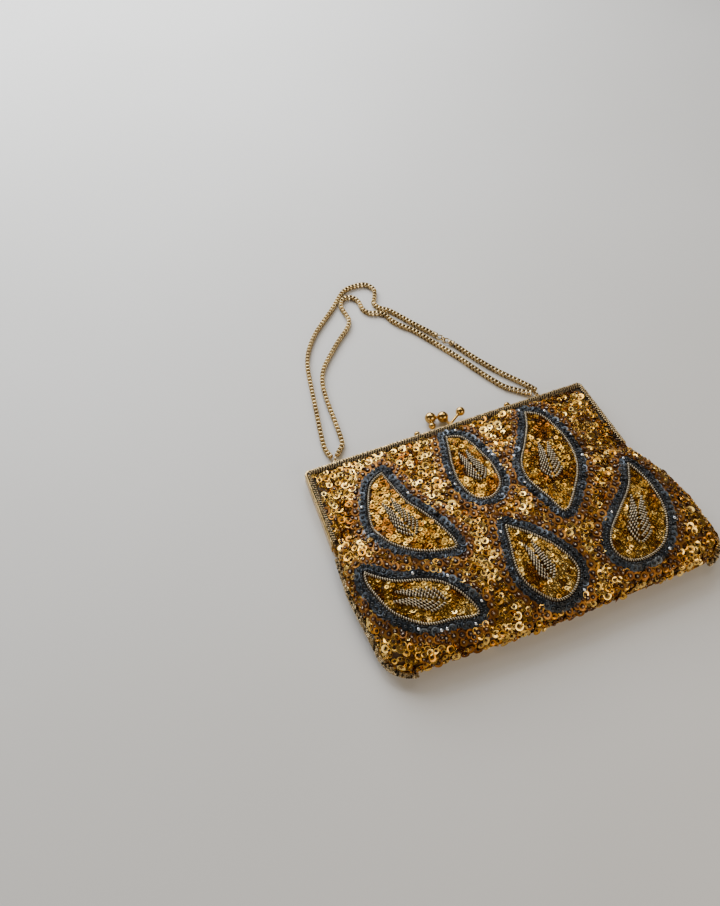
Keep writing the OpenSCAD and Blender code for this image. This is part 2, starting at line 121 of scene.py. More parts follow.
OUTER_LONG_ROUTE = [
    (-78.5, 7, 2.7), (-80, 15, 1.6), (-78.5, 27, 1.6), (-75, 45, 1.6), (-71, 66, 1.6),
    (-67, 85, 1.6), (-61.5, 98, 1.6), (-52, 111, 1.6), (-41, 121.5, 1.6), (-30.5, 131, 1.6),
    (-23.5, 138.5, 1.6), (-16.5, 144.5, 1.6), (-8, 146.5, 1.6), (1, 145, 1.6), (5, 138, 1.6),
    (2.5, 130.5, 1.6), (-0.5, 125, 1.6), (1.5, 119, 1.6), (8, 113, 1.6), (19, 95, 1.6),
    (27.8, 81.5, 1.6),
]
OUTER_SHORT_ROUTE = [
    (37.8, 66.5, 1.6), (43, 55.5, 1.6), (49, 44, 1.6), (56.5, 31.5, 1.6), (63, 22.5, 1.6),
    (68.5, 14.5, 1.8), (72, 7.4, 2.7),
]
INNER_ROUTE = [
    (-75.5, 7, 2.7), (-71, 11.5, 1.9), (-68, 15.5, 1.6), (-67, 22, 1.6), (-66, 35, 1.6),
    (-65, 51, 1.6), (-63, 65, 1.6), (-59.5, 75, 1.6), (-54, 83, 1.6), (-46, 91.5, 1.6),
    (-37.5, 100, 1.6), (-28.5, 108, 1.6), (-24, 115, 1.6), (-24, 122, 1.6), (-24.5, 130, 1.6),
    (-20.5, 136.5, 1.6), (-14, 136.5, 1.6), (-10.5, 130.5, 1.6), (-10.5, 122.5, 1.6),
    (-7.5, 117, 1.6), (-1.5, 114.5, 1.6), (3, 110.5, 1.6), (5, 104, 1.6), (9.5, 97, 1.6),
    (15.5, 90, 1.6), (20.5, 81.5, 1.6), (28, 68, 1.6), (35.5, 54, 1.6), (41.5, 41, 1.6),
    (47.5, 29, 1.6), (53, 19.5, 1.6), (59, 14, 1.6), (64, 9.7, 1.9), (68.4, 6.7, 2.7),
]

# Outline of each leaf, from its tip round to the same tip, and its feather's foot and point
LEAVES = {
    "leaf_upper_left": ([
        (-56, -21), (-54, -35), (-51, -49), (-46, -59), (-41, -72), (-38, -87),
        (-50, -86), (-63, -80), (-73, -70), (-76, -56), (-72, -39), (-65, -26)],
        (-57, -74), (-62, -42)),
    "leaf_upper_middle": ([
        (-6, -10), (2, -13), (6, -21), (8, -32), (9, -44), (6, -58),
        (-4, -65), (-13, -61), (-16, -48), (-13, -32), (-9, -20)],
        (-2, -53), (-3, -25)),
    "leaf_upper_right": ([
        (51, -11), (59, -17), (62, -30), (62, -45), (57, -62), (48, -75), (32, -90),
        (27, -78), (23, -62), (26, -49), (36, -36), (46, -22)],
        (37, -69), (47, -39)),
    "leaf_right": ([
        (85, -75), (88, -88), (88, -104), (84, -117), (75, -128), (61, -132),
        (49, -129), (45, -120), (50, -111), (62, -101), (75, -90), (82, -80)],
        (61, -125), (76, -96)),
    "leaf_lower_left": ([
        (-92, -82), (-86, -89), (-78, -95), (-66, -99), (-55, -105), (-47, -116), (-44, -127),
        (-58, -125), (-74, -122), (-86, -111), (-91, -98), (-93, -88)],
        (-57, -116), (-84, -102)),
    "leaf_bottom_middle": ([
        (-6, -86), (5, -96), (15, -109), (20, -124), (12, -134), (0, -135),
        (-10, -125), (-13, -113), (-9, -97)],
        (3, -126), (0, -100)),
}


# ---------------------------------------------------------------- shape of the pouch

def smooth(t):
    t = np.clip(t, 0, 1)
    return t * t * (3 - 2 * t)


def round_off(d, reach, power):
    return (1 - (1 - np.clip(d / reach, 0, 1)) ** power) ** (1 / power)


def arm_x(y, e):
    return FRAME_WIDTH / 2 - ARM_FLARE * y / ARM_LENGTH - e


def ease(t):
    return np.sin(math.pi / 2 * np.clip(t, 0, 1))


def cloth_half(y):
    below = UPPER_HALF + BELLY * ease((-BELOW_ARM - y) / BELLY_REACH)
    return np.where(y > -BELOW_ARM, arm_x(y, 2 * RIM), below)


def cloth_middle(y):
    return LEAN * ease((-BELOW_ARM - y) / LEAN_REACH)


def cloth_depth(x):
    return POUCH_HEIGHT - LEFT_RISE * smooth((-x - 10) / 70)


def corner_cut(up, radius=CORNER):
    """How far a rounded corner stands in from the side, up from the lower edge."""
    side = radius - np.clip(up, 0, radius)
    return radius - np.sqrt(np.maximum(radius ** 2 - side ** 2, 0))


def edge_distances(x, y, inset):
    """How far up from the bottom fold, and in from the side, a point of the plan lies."""
    up = cloth_depth(x) + y - inset
    return up, cloth_half(y) - corner_cut(up) - np.abs(x - cloth_middle(y)) - inset


def front_height(x, y, inset):
    """Height of the front face, inset deep in the cloth."""
    up, inner = edge_distances(x, y, inset)
    below = smooth((-y - ARM_LENGTH + 6) / 14)
    rise = smooth((-y - 4) / RISE_REACH) ** 0.8
    framed = smooth((inner - 5.5 + inset) / FRAME_REACH) ** 0.8
    free = round_off(inner, SIDE_ROUND, 2.4)
    foot = (FACE - inset) * (1 - below) + SEAM * below
    full = framed + (free - framed) * below
    return foot + (POUCH_DEPTH - inset - foot) * rise * full * round_off(up, BOTTOM_ROUND, 2.2)


def back_height(x, y, inset):
    """Height of the back, flat in the middle and turned up to the seams."""
    up, inner = edge_distances(x, y, inset)
    below = smooth((-y - ARM_LENGTH - 6) / 10)
    flat = round_off(inner, BACK_ROUND, 2) * round_off(up, BACK_ROUND, 2)
    return inset + (SEAM - inset) * below * (1 - flat)


def pouch_grid(height, top, rows, columns, inset, narrow=False):
    """Points of the front or the back from the top edge to the bottom fold, as rows by columns."""
    t = np.sin(np.linspace(0, math.pi / 2, rows + 1)) * 0.6 + np.linspace(0, 1, rows + 1) * 0.4
    u = np.sin(np.linspace(-math.pi / 2, math.pi / 2, columns + 1))
    t, u = np.meshgrid(t, u, indexing="ij")
    y = top + (-POUCH_HEIGHT - top) * t
    up = y + POUCH_HEIGHT
    half = cloth_half(y)
    if narrow:
        half = np.where(y > -ARM_LENGTH - 3, arm_x(y, BAND) - 0.4, half)
    x = cloth_middle(y) + u * (half - corner_cut(up) - inset)
    y = top + (-cloth_depth(x) + inset - top) * t
    return np.stack([x, y, height(x, y, inset)], axis=-1)


# ---------------------------------------------------------------- mesh tools

def grid_faces(rows, columns, first=0):
    """Quads of a grid of rows + 1 by columns + 1 points."""
    i, j = np.meshgrid(np.arange(rows), np.arange(columns), indexing="ij")
    a = (first + i * (columns + 1) + j).ravel()
    return np.stack([a, a + columns + 1, a + columns + 2, a + 1], axis=1)


def build(name, points, faces, material, uv=None, values=None):
    """A mesh object. faces is a list of arrays, each of faces with one number of corners."""
    points = to_row(points).reshape(-1, 3)
    faces = [np.asarray(f, np.int32) for f in faces if len(f)]
    corners = np.concatenate([f.ravel() for f in faces])
    counts = np.concatenate([np.full(len(f), f.shape[1]) for f in faces])
    mesh = bpy.data.meshes.new(name)
    mesh.vertices.add(len(points))
    mesh.vertices.foreach_set("co", points.astype(np.float32).ravel())
    mesh.loops.add(len(corners))
    mesh.loops.foreach_set("vertex_index", corners)
    mesh.polygons.add(len(counts))
    mesh.polygons.foreach_set("loop_start", np.concatenate([[0], np.cumsum(counts)[:-1]]))
    mesh.update(calc_edges=True)
    mesh.polygons.foreach_set("use_smooth", np.ones(len(counts), bool))
    if uv is not None:
        layer = mesh.uv_layers.new(name="OFBake")
        uv = np.asarray(uv, np.float32).reshape(-1, 2)
        layer.data.foreach_set("uv", (uv[corners] if len(uv) == len(points) else uv).ravel())
    for key, value in (values or {}).items():
        attribute = mesh.attributes.new(key, "FLOAT", "POINT")
        attribute.data.foreach_set("value", np.asarray(value, np.float32).ravel())
    mesh.materials.append(material)
    piece = bpy.data.objects.new(name, mesh)
    scene.collection.objects.link(piece)
    return piece


def across_hinge(piece):
    """Bakes a front piece's placement into its mesh."""
    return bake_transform(piece)


def angles_round(sides):
    return 2 * math.pi * np.arange(sides) / sides


def ring_quads(rings, sides):
    """Quads between rings of points, each ring joined to the next and the last to the first."""
    i, j = np.meshgrid(np.arange(rings), np.arange(sides), indexing="ij")
    i2, j2 = (i + 1) % rings, (j + 1) % sides
    quads = np.stack([i * sides + j, i * sides + j2, i2 * sides + j2, i2 * sides + j], axis=-1)
    return quads.reshape(-1, 4)


def ring_solid(profile, sides):
    """Points and quads of a closed profile of (radius, height) turned round Z: a solid with a hole."""
    profile = np.asarray(profile, float)
    angle = angles_round(sides)
    x = profile[:, :1] * np.cos(angle)
    y = profile[:, :1] * np.sin(angle)
    z = np.repeat(profile[:, 1:], sides, axis=1)
    return np.stack([x, y, z], axis=-1).reshape(-1, 3), ring_quads(len(profile), sides)


def turned_solid(profile, sides):
    """Points and faces of an open profile of (radius, height) turned round Z, closed at both ends."""
    points, quads = ring_solid(profile, sides)
    quads = quads[:-sides]
    first = np.arange(sides)[::-1][None]
    last = (np.arange(sides) + (len(profile) - 1) * sides)[None]
    return points, [quads, first, last]


def cells(count):
    """Lower corner and size of each item's own square in the bake's UV map."""
    side = math.ceil(math.sqrt(max(count, 1)))
    k = np.arange(count)
    return np.stack([k % side, k // side], axis=1) / side, 1 / side


def copies(shape, places, axes, sizes):
    """Points, quads and UVs of a shape repeated at places; axes holds each copy's 3 by 3 frame."""
    points, quads = shape
    count, n = len(places), len(points)
    spots = np.einsum("nij,kj->nki", axes, points) * np.reshape(sizes, (-1, 1, 1))
    spots = spots + places[:, None, :]
    faces = (quads[None] + (np.arange(count) * n)[:, None, None]).reshape(-1, 4)
    flat = points[:, :2]
    local = (flat - flat.min(0)) / np.maximum(np.ptp(flat, axis=0), 1e-6)
    corner, side = cells(count)
    uv = corner[:, None] + (0.06 + 0.88 * local[None]) * side
    return spots.reshape(-1, 3), faces, uv.reshape(-1, 2)


def unit(v):
    return v / np.maximum(np.linalg.norm(v, axis=-1, keepdims=True), 1e-9)


def tilted_axes(normals, spread, most=32):
    """A frame for each normal, spun freely and tilted at random; spread and most are degrees."""
    count = len(normals)
    tilt = np.tan(np.radians(np.clip(np.abs(rng.normal(0, spread, count)), 0, most)))
    spin = rng.uniform(0, 2 * math.pi, count)
    helper = np.where(np.abs(normals[:, 2:]) < 0.9, [[0.0, 0.0, 1.0]], [[1.0, 0.0, 0.0]])
    a = unit(np.cross(normals, helper))
    b = np.cross(normals, a)
    lean = np.cos(spin)[:, None] * a + np.sin(spin)[:, None] * b
    up = unit(normals + tilt[:, None] * lean)
    turn = rng.uniform(0, 2 * math.pi, count)[:, None]
    a = unit(np.cross(up, helper))
    b = np.cross(up, a)
    x = np.cos(turn) * a + np.sin(turn) * b
    return np.stack([x, np.cross(up, x), up], axis=-1)


def curve(points, steps):
    """A smooth open curve through points, with steps spans between each two."""
    p = np.asarray(points, float)
    first, last = p[:1], p[-1:]
    a, b, c, d = np.concatenate([first, p[:-2]]), p[:-1], p[1:], np.concatenate([p[2:], last])
    t = (np.arange(steps) / steps)[None, :, None]
    a, b, c, d = (v[:, None] for v in (a, b, c, d))
    spans = 0.5 * (2 * b + (c - a) * t + (2 * a - 5 * b + 4 * c - d) * t ** 2
                   + (3 * b - a - 3 * c + d) * t ** 3)
    return np.concatenate([spans.reshape(-1, p.shape[1]), last])


def travel(path):
    """Distance along a path to each of its points."""
    return np.concatenate([[0], np.cumsum(np.linalg.norm(np.diff(path, axis=0), axis=1))])


def along(path, distances):
    """Points of a path at distances along it."""
    s = travel(path)
    return np.stack([np.interp(distances, s, path[:, k]) for k in range(path.shape[1])], axis=1)


def spaced(path, gap):
    """Points of a path a gap apart, as nearly as its length allows."""
    length = travel(path)[-1]
    return along(path, np.linspace(0, length, max(2, round(length / gap) + 1)))


def at_height(path, z):
    """A path of the plan, with one height."""
    return np.concatenate([path, np.full((len(path), 1), z)], axis=1)


def tubes(paths, ups, radius, sides, pitch=None, depth=0.0):
    """Tubes along paths of one number of points, with an optional wound thread on each.
    Returns points, faces, per-corner UVs and the depth of the groove at each point."""
    paths = np.asarray(paths, float)
    count, n = paths.shape[:2]
    tangent = unit(np.gradient(paths, axis=1))
    side = unit(np.cross(np.broadcast_to(ups, tangent.shape), tangent))
    over = np.cross(tangent, side)
    steps = np.linalg.norm(np.diff(paths, axis=1), axis=2)
    s = np.concatenate([np.zeros((count, 1)), np.cumsum(steps, axis=1)], axis=1)
    angle = angles_round(sides)
    groove = np.zeros((count, n, sides))
    if pitch:
        phase = 2 * math.pi * s[:, :, None] / pitch - angle
        groove = 0.5 - 0.5 * np.cos(phase)
    r = radius * (1 - depth * groove)
    ring = (np.cos(angle)[None, None, :, None] * side[:, :, None]
            + np.sin(angle)[None, None, :, None] * over[:, :, None])
    points = paths[:, :, None] + r[..., None] * ring
    shift = (np.arange(count) * n * sides)[:, None, None]
    walls = (ring_quads(n, sides)[None, :-sides] + shift).reshape(-1, 4)
    first = np.arange(sides)[::-1][None] + shift[:, 0]
    last = np.arange(sides)[None] + (n - 1) * sides + shift[:, 0]
    corner, size = cells(count * (n - 1))
    square = np.array([[0, 0], [0, 1], [1, 1], [1, 0]]) * 0.9 + 0.05
    step = np.repeat(np.arange(count * (n - 1)), sides)
    lane = np.tile(np.arange(sides), count * (n - 1))
    local = np.stack([np.tile(square[:, 0], (len(step), 1)),
                      (lane[:, None] + square[:, 1]) / sides], axis=-1)
    wall_uv = corner[step][:, None] + local * size
    end_uv = np.tile(corner[:1] + 0.5 * size, (2 * count * sides, 1))
    uv = np.concatenate([wall_uv.reshape(-1, 2), end_uv])
    return points.reshape(-1, 3), [walls, first, last], uv, groove.ravel()


def thin(points, gaps):
    """Indices of points that keep their gap from every point kept before them."""
    cell = float(np.max(gaps))
    keys = np.floor(points / cell).astype(int)
    buckets, kept = {}, []
    near = [(a, b, c) for a in (-1, 0, 1) for b in (-1, 0, 1) for c in (-1, 0, 1)]
    for k, (point, key, gap) in enumerate(zip(points.tolist(), keys.tolist(), gaps.tolist())):
        crowded = False
        for a, b, c in near:
            for q in buckets.get((key[0] + a, key[1] + b, key[2] + c), ()):
                apart = (point[0] - q[0]) ** 2 + (point[1] - q[1]) ** 2 + (point[2] - q[2]) ** 2
                if apart < gap * gap:
                    crowded = True
                    break
            if crowded:
                break
        if not crowded:
            buckets.setdefault(tuple(key), []).append(point)
            kept.append(k)
    return np.array(kept)


class Cloth:
    """A face of the pouch: a grid of points, with ways to find places on it."""

    def __init__(self, grid, side):
        """side is 1 for the front, which faces up, and -1 for the back."""
        self.grid = grid
        rows, columns = grid.shape[0] - 1, grid.shape[1] - 1
        self.quads = grid_faces(rows, columns)
        points = grid.reshape(-1, 3)
        self.tree = BVHTree.FromPolygons(points.tolist(), self.quads.tolist())
        a, b, c, d = (points[self.quads[:, k]] for k in range(4))
        face = np.cross(c - a, d - b)
        total = np.zeros_like(points)
        for k in range(4):
            np.add.at(total, self.quads[:, k], face)
        outward = side if total[:, 2].sum() > 0 else -side
        self.normals = unit(total) * outward
        self.area = np.linalg.norm(face, axis=1) / 2

    def scatter(self, count):
        """Places spread evenly over the face's area, and the normals there."""
        points = self.grid.reshape(-1, 3)
        pick = rng.choice(len(self.quads), count, p=self.area / self.area.sum())
        s, t = rng.uniform(size=(2, count, 1))
        weights = ((1 - s) * (1 - t), (1 - s) * t, s * t, s * (1 - t))
        corners = self.quads[pick].T
        place = sum(w * points[k] for w, k in zip(weights, corners))
        normal = unit(sum(w * self.normals[k] for w, k in zip(weights, corners)))
        return place, normal

    def drop(self, plan, lift=0.0):
        """Places on the face straight below points of the plan, and the normals there."""
        places, normals = [], []
        down = Vector((0, 0, -1))
        for x, y in np.asarray(plan, float)[:, :2].tolist():
            spot, normal, _, _ = self.tree.ray_cast(Vector((x, y, 60.0)), down)
            if spot is None:
                spot, normal, _, _ = self.tree.find_nearest(Vector((x, y, SEAM)))
            normal = normal if normal.z > 0 else -normal
            places.append(spot + normal * lift)
            normals.append(normal)
        return np.array(places), np.array(normals)


# ---------------------------------------------------------------- materials

class Look:
    """A new material, with the few kinds of node that the looks are made of."""

    def __init__(self, name):
        self.material = bpy.data.materials.new(name)
        self.material.use_nodes = True
        self.nodes, self.links = self.material.node_tree.nodes, self.material.node_tree.links

    def feed(self, node, inputs):
        """Sets a node's inputs to values, or links them to other nodes' outputs."""
        for key, value in inputs.items():
            if isinstance(value, bpy.types.NodeSocket):
                self.links.new(value, node.inputs[key])
            else:
                node.inputs[key].default_value = value
        return node

    def add(self, kind, inputs):
        return self.feed(self.nodes.new("ShaderNode" + kind), inputs)

    def shade(self, inputs):
        """Gives the shader its inputs, and returns the finished material."""
        self.feed(self.nodes["Principled BSDF"], inputs)
        return self.material

    def ramp(self, source, stops):
        """A colour ramp of (place, red, green, blue) stops, fed by source."""
        node = self.add("ValToRGB", {"Fac": source})
        while len(node.color_ramp.elements) < len(stops):
            node.color_ramp.elements.new(0.5)
        for element, (place, *colour) in zip(node.color_ramp.elements, stops):
            element.position = place
            element.color = (*colour, 1)
        return node.outputs["Color"]

    def place(self):
        return self.add("TexCoord", {}).outputs["Object"]

    def noise(self, size_mm, detail=3.0):
        """Noise with features of about a size, in the model's own space."""
        inputs = {"Scale": 1 / (size_mm * MM), "Detail": detail, "Vector": self.place()}
        return self.add("TexNoise", inputs).outputs["Fac"]

    def spread(self, source, low, high):
        inputs = {"To Min": low, "To Max": high, "Value": source}
        return self.add("MapRange", inputs).outputs["Result"]

    def bumps(self, source, height_mm, strength=1.0):
        inputs = {"Distance": height_mm * MM, "Strength": strength, "Height": source}
        return self.add("Bump", inputs).outputs["Normal"]

    def attribute(self, name):
        node = self.add("Attribute", {})
        node.attribute_name = name
        return node.outputs["Fac"]

    def threads(self, direction, thread_mm):
        inputs = {"Scale": 0.314 / (thread_mm * MM), "Distortion": 0.6, "Detail": 1.0,
                  "Vector": self.place()}
        node = self.add("TexWave", inputs)
        node.bands_direction = direction
        return node.outputs["Fac"]

    def math(self, operation, a, b):
        node = self.add("Math", {0: a, 1: b})
        node.operation = operation
        return node.outputs["Value"]


def sparkle(name, stops, metallic, rough, coat=0.0, specular=0.5):
    """Sequins or beads: each has its own colour, from its tint, and all have fine scratches."""
    look = Look(name)
    grain = look.noise(0.5)
    return look.shade({
        "Base Color": look.ramp(look.attribute("tint"), stops), "Metallic": metallic,
        "Roughness": look.spread(grain, *rough), "Normal": look.bumps(grain, 0.03, 0.5),
        "Coat Weight": coat, "Coat Roughness": 0.08, "Specular IOR Level": specular})


def wound_wire(name, stops, rough):
    """Bullion wire coloured by its groove depth: painted highlights on its turns and painted shade in
    its grooves.
    """
    look = Look(name)
    return look.shade({
        "Base Color": look.ramp(look.attribute("groove"), stops), "Metallic": 0.85,
        "Roughness": look.spread(look.noise(0.8), *rough)})


def plated_metal(name, worn, bright, rough):
    """Gold plate with fine scratches, a little darker where it is worn."""
    look = Look(name)
    grain = look.noise(0.6, 4.0)
    return look.shade({
        "Base Color": look.ramp(look.noise(9.0, 5.0), [(0.3, *worn), (0.65, *bright)]),
        "Roughness": look.spread(grain, *rough), "Normal": look.bumps(grain, 0.02, 0.4),
        "Metallic": 1.0})


def woven(name, dark, light, thread_mm, rough, sheen, height_mm):
    """Plain-woven cloth: two crossed sets of threads, with slow changes of colour."""
    look = Look(name)
    weave = look.math("MULTIPLY", look.threads("X", thread_mm), look.threads("Y", thread_mm))
    slow = look.noise(18.0)
    shade = look.math("ADD", look.spread(weave, 0.0, 0.5), look.spread(slow, 0.0, 0.5))
    return look.shade({
        "Base Color": look.ramp(shade, [(0.2, *dark), (0.75, *light)]),
        "Roughness": look.spread(slow, *rough), "Normal": look.bumps(weave, height_mm),
        "Sheen Weight": sheen, "Sheen Roughness": 0.4})


GOLD_SEQUIN = sparkle("gold_sequin", [
    (0.0, 0.20, 0.058, 0.005), (0.2, 0.40, 0.165, 0.014), (0.5, 0.70, 0.385, 0.055),
    (1.0, 0.98, 0.68, 0.20)], 1.0, (0.15, 0.32))
AMBER_SEQUIN = sparkle("amber_sequin", [
    (0.0, 0.16, 0.052, 0.005), (0.3, 0.30, 0.14, 0.016), (0.65, 0.50, 0.29, 0.05),
    (1.0, 0.90, 0.63, 0.20)], 1.0, (0.15, 0.32))
BRONZE_SEQUIN = sparkle("bronze_sequin", [
    (0.0, 0.09, 0.028, 0.005), (0.5, 0.24, 0.090, 0.014), (1.0, 0.44, 0.19, 0.034)],
    0.7, (0.32, 0.48), specular=0.3)
STEEL_SEQUIN = sparkle("steel_sequin", [
    (0.0, 0.009, 0.012, 0.016), (0.45, 0.032, 0.042, 0.056), (0.8, 0.085, 0.110, 0.142),
    (1.0, 0.21, 0.25, 0.30)], 0.5, (0.28, 0.46), coat=0.1)
BLACK_BEAD = sparkle("black_bead", [
    (0.0, 0.002, 0.002, 0.003), (0.7, 0.008, 0.009, 0.011), (1.0, 0.03, 0.033, 0.038)],
    0.2, (0.1, 0.25), coat=0.3, specular=0.5)
BROWN_BEAD = sparkle("brown_bead", [
    (0.0, 0.016, 0.004, 0.001), (0.6, 0.050, 0.015, 0.003), (1.0, 0.12, 0.042, 0.008)],
    0.4, (0.16, 0.32), coat=0.1, specular=0.3)
SEED_BEAD = sparkle("seed_bead", [
    (0.0, 0.018, 0.006, 0.002), (0.6, 0.09, 0.035, 0.009), (1.0, 0.42, 0.25, 0.09)],
    0.6, (0.1, 0.25), coat=0.3, specular=0.5)
# Painted highlight: pale dots set on top of the brown ring beads.
HIGHLIGHT_BEAD = sparkle("painted_highlight_bead", [
    (0.0, 0.22, 0.14, 0.08), (1.0, 0.66, 0.54, 0.40)], 0.5, (0.1, 0.25), coat=0.6, specular=0.6)
GLASS_BEAD = sparkle("glass_bead", [
    (0.0, 0.55, 0.62, 0.70), (1.0, 0.92, 0.95, 1.0)], 0.9, (0.05, 0.12), coat=0.9, specular=0.9)
TRIM_BEAD = sparkle("trim_bead", [
    (0.0, 0.018, 0.013, 0.008), (0.3, 0.10, 0.070, 0.034), (0.6, 0.42, 0.30, 0.14),
    (1.0, 0.80, 0.64, 0.38)], 0.9, (0.18, 0.36))
# Both wires: painted highlights on the turns, painted shade down into the grooves.
SILVER_WIRE = wound_wire("silver_wire", [
    (0.0, 0.66, 0.55, 0.38), (0.3, 0.42, 0.33, 0.21), (0.5, 0.05, 0.034, 0.02),
    (1.0, 0.006, 0.005, 0.004)], (0.25, 0.45))
EDGE_WIRE = wound_wire("edge_wire", [
    (0.0, 0.66, 0.49, 0.26), (0.3, 0.38, 0.27, 0.135), (0.5, 0.05, 0.036, 0.02),
    (1.0, 0.006, 0.005, 0.004)], (0.2, 0.4))
FRAME_METAL = plated_metal("frame_metal", (0.55, 0.36, 0.13), (0.84, 0.60, 0.27), (0.2, 0.34))
CLASP_GOLD = plated_metal("clasp_gold", (0.36, 0.19, 0.04), (0.68, 0.43, 0.13), (0.1, 0.24))
CHAIN_GOLD = plated_metal("chain_gold", (0.31, 0.21, 0.09), (0.61, 0.45, 0.22), (0.18, 0.32))
BACKING = woven("backing_cloth", (0.05, 0.021, 0.005), (0.15, 0.07, 0.018), 0.6, (0.6, 0.8),
                0.05, 0.1)
# Near-black strip under the frame's edge coils: painted shade in the gaps between them.
SHADE_STRIP = woven("shade_strip", (0.03, 0.022, 0.014), (0.10, 0.075, 0.045), 0.5, (0.6, 0.8), 0.05, 0.1)
SATIN = woven("satin_lining", (0.62, 0.52, 0.36), (0.82, 0.74, 0.58), 0.25, (0.3, 0.42), 0.3, 0.02)
THREAD = woven("sewing_thread", (0.45, 0.36, 0.22), (0.72, 0.62, 0.44), 0.2, (0.5, 0.7), 0.3, 0.03)


# ---------------------------------------------------------------- chain

def box_link():
    """One link of box chain: a rounded square loop of flat strip, lying in its XY plane."""
    half_length, half_width, thick, tall = 1.05, 1.62, 0.33, 2.5
    around, corner_power = 16, 3.2
    angle = angles_round(around)
    c, s = np.cos(angle), np.sin(angle)
    shape = (np.abs(c) ** corner_power + np.abs(s) ** corner_power) ** (-1 / corner_power)
    section = [(0, -0.34), (0, 0.34), (-0.15, 0.5), (-0.85, 0.5), (-1, 0.34),
               (-1, -0.34), (-0.85, -0.5), (-0.15, -0.5)]
    points = []
    for inward, height in section:
        x = (half_length + thick * inward) * shape * c
        y = (half_width + thick * inward) * shape * s
        points.append(np.stack([x, y, np.full(around, tall * height)], axis=1))
    return np.concatenate(points), ring_quads(len(section), around)[:, ::-1]


LINK_PITCH = 1.44


def make_strand(name, route):
    """A strand of box chain along its route on the table, every other link turned on edge."""
    path = curve(route, 8)
    spots = spaced(path, LINK_PITCH)
    tangent = unit(np.gradient(spots, axis=0))
    side = unit(np.cross(UP, tangent))
    up = np.cross(tangent, side)
    turned = np.arange(len(spots)) % 2 == 1
    y = np.where(turned[:, None], up, side)
    z = np.where(turned[:, None], -side, up)
    axes = np.stack([tangent, y, z], axis=-1)
    points, faces, uv = copies(box_link(), spots[1:-1], axes[1:-1], np.ones(len(spots) - 2))
    points[:, 2] = np.maximum(points[:, 2], 0.01)
    piece = build(name + "_mesh", points, [faces], CHAIN_GOLD, uv)
    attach(piece, "bag")
    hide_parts(name)
    print(name, "length", round(travel(path)[-1], 1))


JOINT_FROM, JOINT_WAY = np.array([27.8, 81.5]), np.array([0.555, -0.832])
CAP_LENGTH, CAP_RADIUS, JOINT_LENGTH = 3.5, 2.0, 17.7


def make_cap(name, start):
    """A crimped end cap of a strand, with a bead at each edge."""
    profile = [(0.5, 0), (1.8, 0), (2.0, 0.15), (2.0, 0.55), (1.82, 0.75), (1.82, 2.75),
               (2.0, 2.95), (2.0, 3.35), (1.8, 3.5), (0.5, 3.5)]
    points, faces = turned_solid(profile, 24)
    way = np.array([*JOINT_WAY, 0.0])
    side = np.cross(UP, way)
    axes = np.stack([side, UP, way], axis=-1)
    place = np.array([*(JOINT_FROM + JOINT_WAY * start), CAP_RADIUS])
    points = points @ axes.T + place
    piece = build(name + "_metal", points, faces, CHAIN_GOLD)
    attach(piece, "bag")
    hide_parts(name)
    return piece


caps = [make_cap("chain_cap_upper", 0.0), make_cap("chain_cap_lower", JOINT_LENGTH - CAP_LENGTH)]
make_strand("chain_outer_long", OUTER_LONG_ROUTE)
make_strand("chain_outer_short", OUTER_SHORT_ROUTE[::-1])
make_strand("chain_inner", INNER_ROUTE)


# ---------------------------------------------------------------- cloth

CLOTH_TOP = -2 * RIM
FRONT_ROWS, FRONT_COLUMNS, EVERY = 84, 104, 2
BACK_ROWS, BACK_COLUMNS = 70, 84
LINING_ROWS, LINING_COLUMNS = 60, 72
STILL_BELOW = 134.0
FRONT_INSET, BACK_INSET, CLOTH_INSET = 0.8, 0.75, 1.2


def between(coarse):
    """A coarse grid of vectors, filled in to the fine grid's rows and columns."""
    rows, columns = np.arange(FRONT_ROWS + 1), np.arange(FRONT_COLUMNS + 1)
    wide = np.empty((len(rows), coarse.shape[1], 3))
    fine = np.empty((len(rows), len(columns), 3))
    for k in range(3):
        for j in range(coarse.shape[1]):
            wide[:, j, k] = np.interp(rows, rows[::EVERY], coarse[:, j, k])
        for i in rows:
            fine[i, :, k] = np.interp(columns, columns[::EVERY], wide[i, :, k])
    return fine


def facing(grid):
    """Outward directions of a grid of points on the front face."""
    across = np.cross(np.gradient(grid, axis=1), np.gradient(grid, axis=0))
    return unit(across * np.sign(across[..., 2:].sum() or 1))


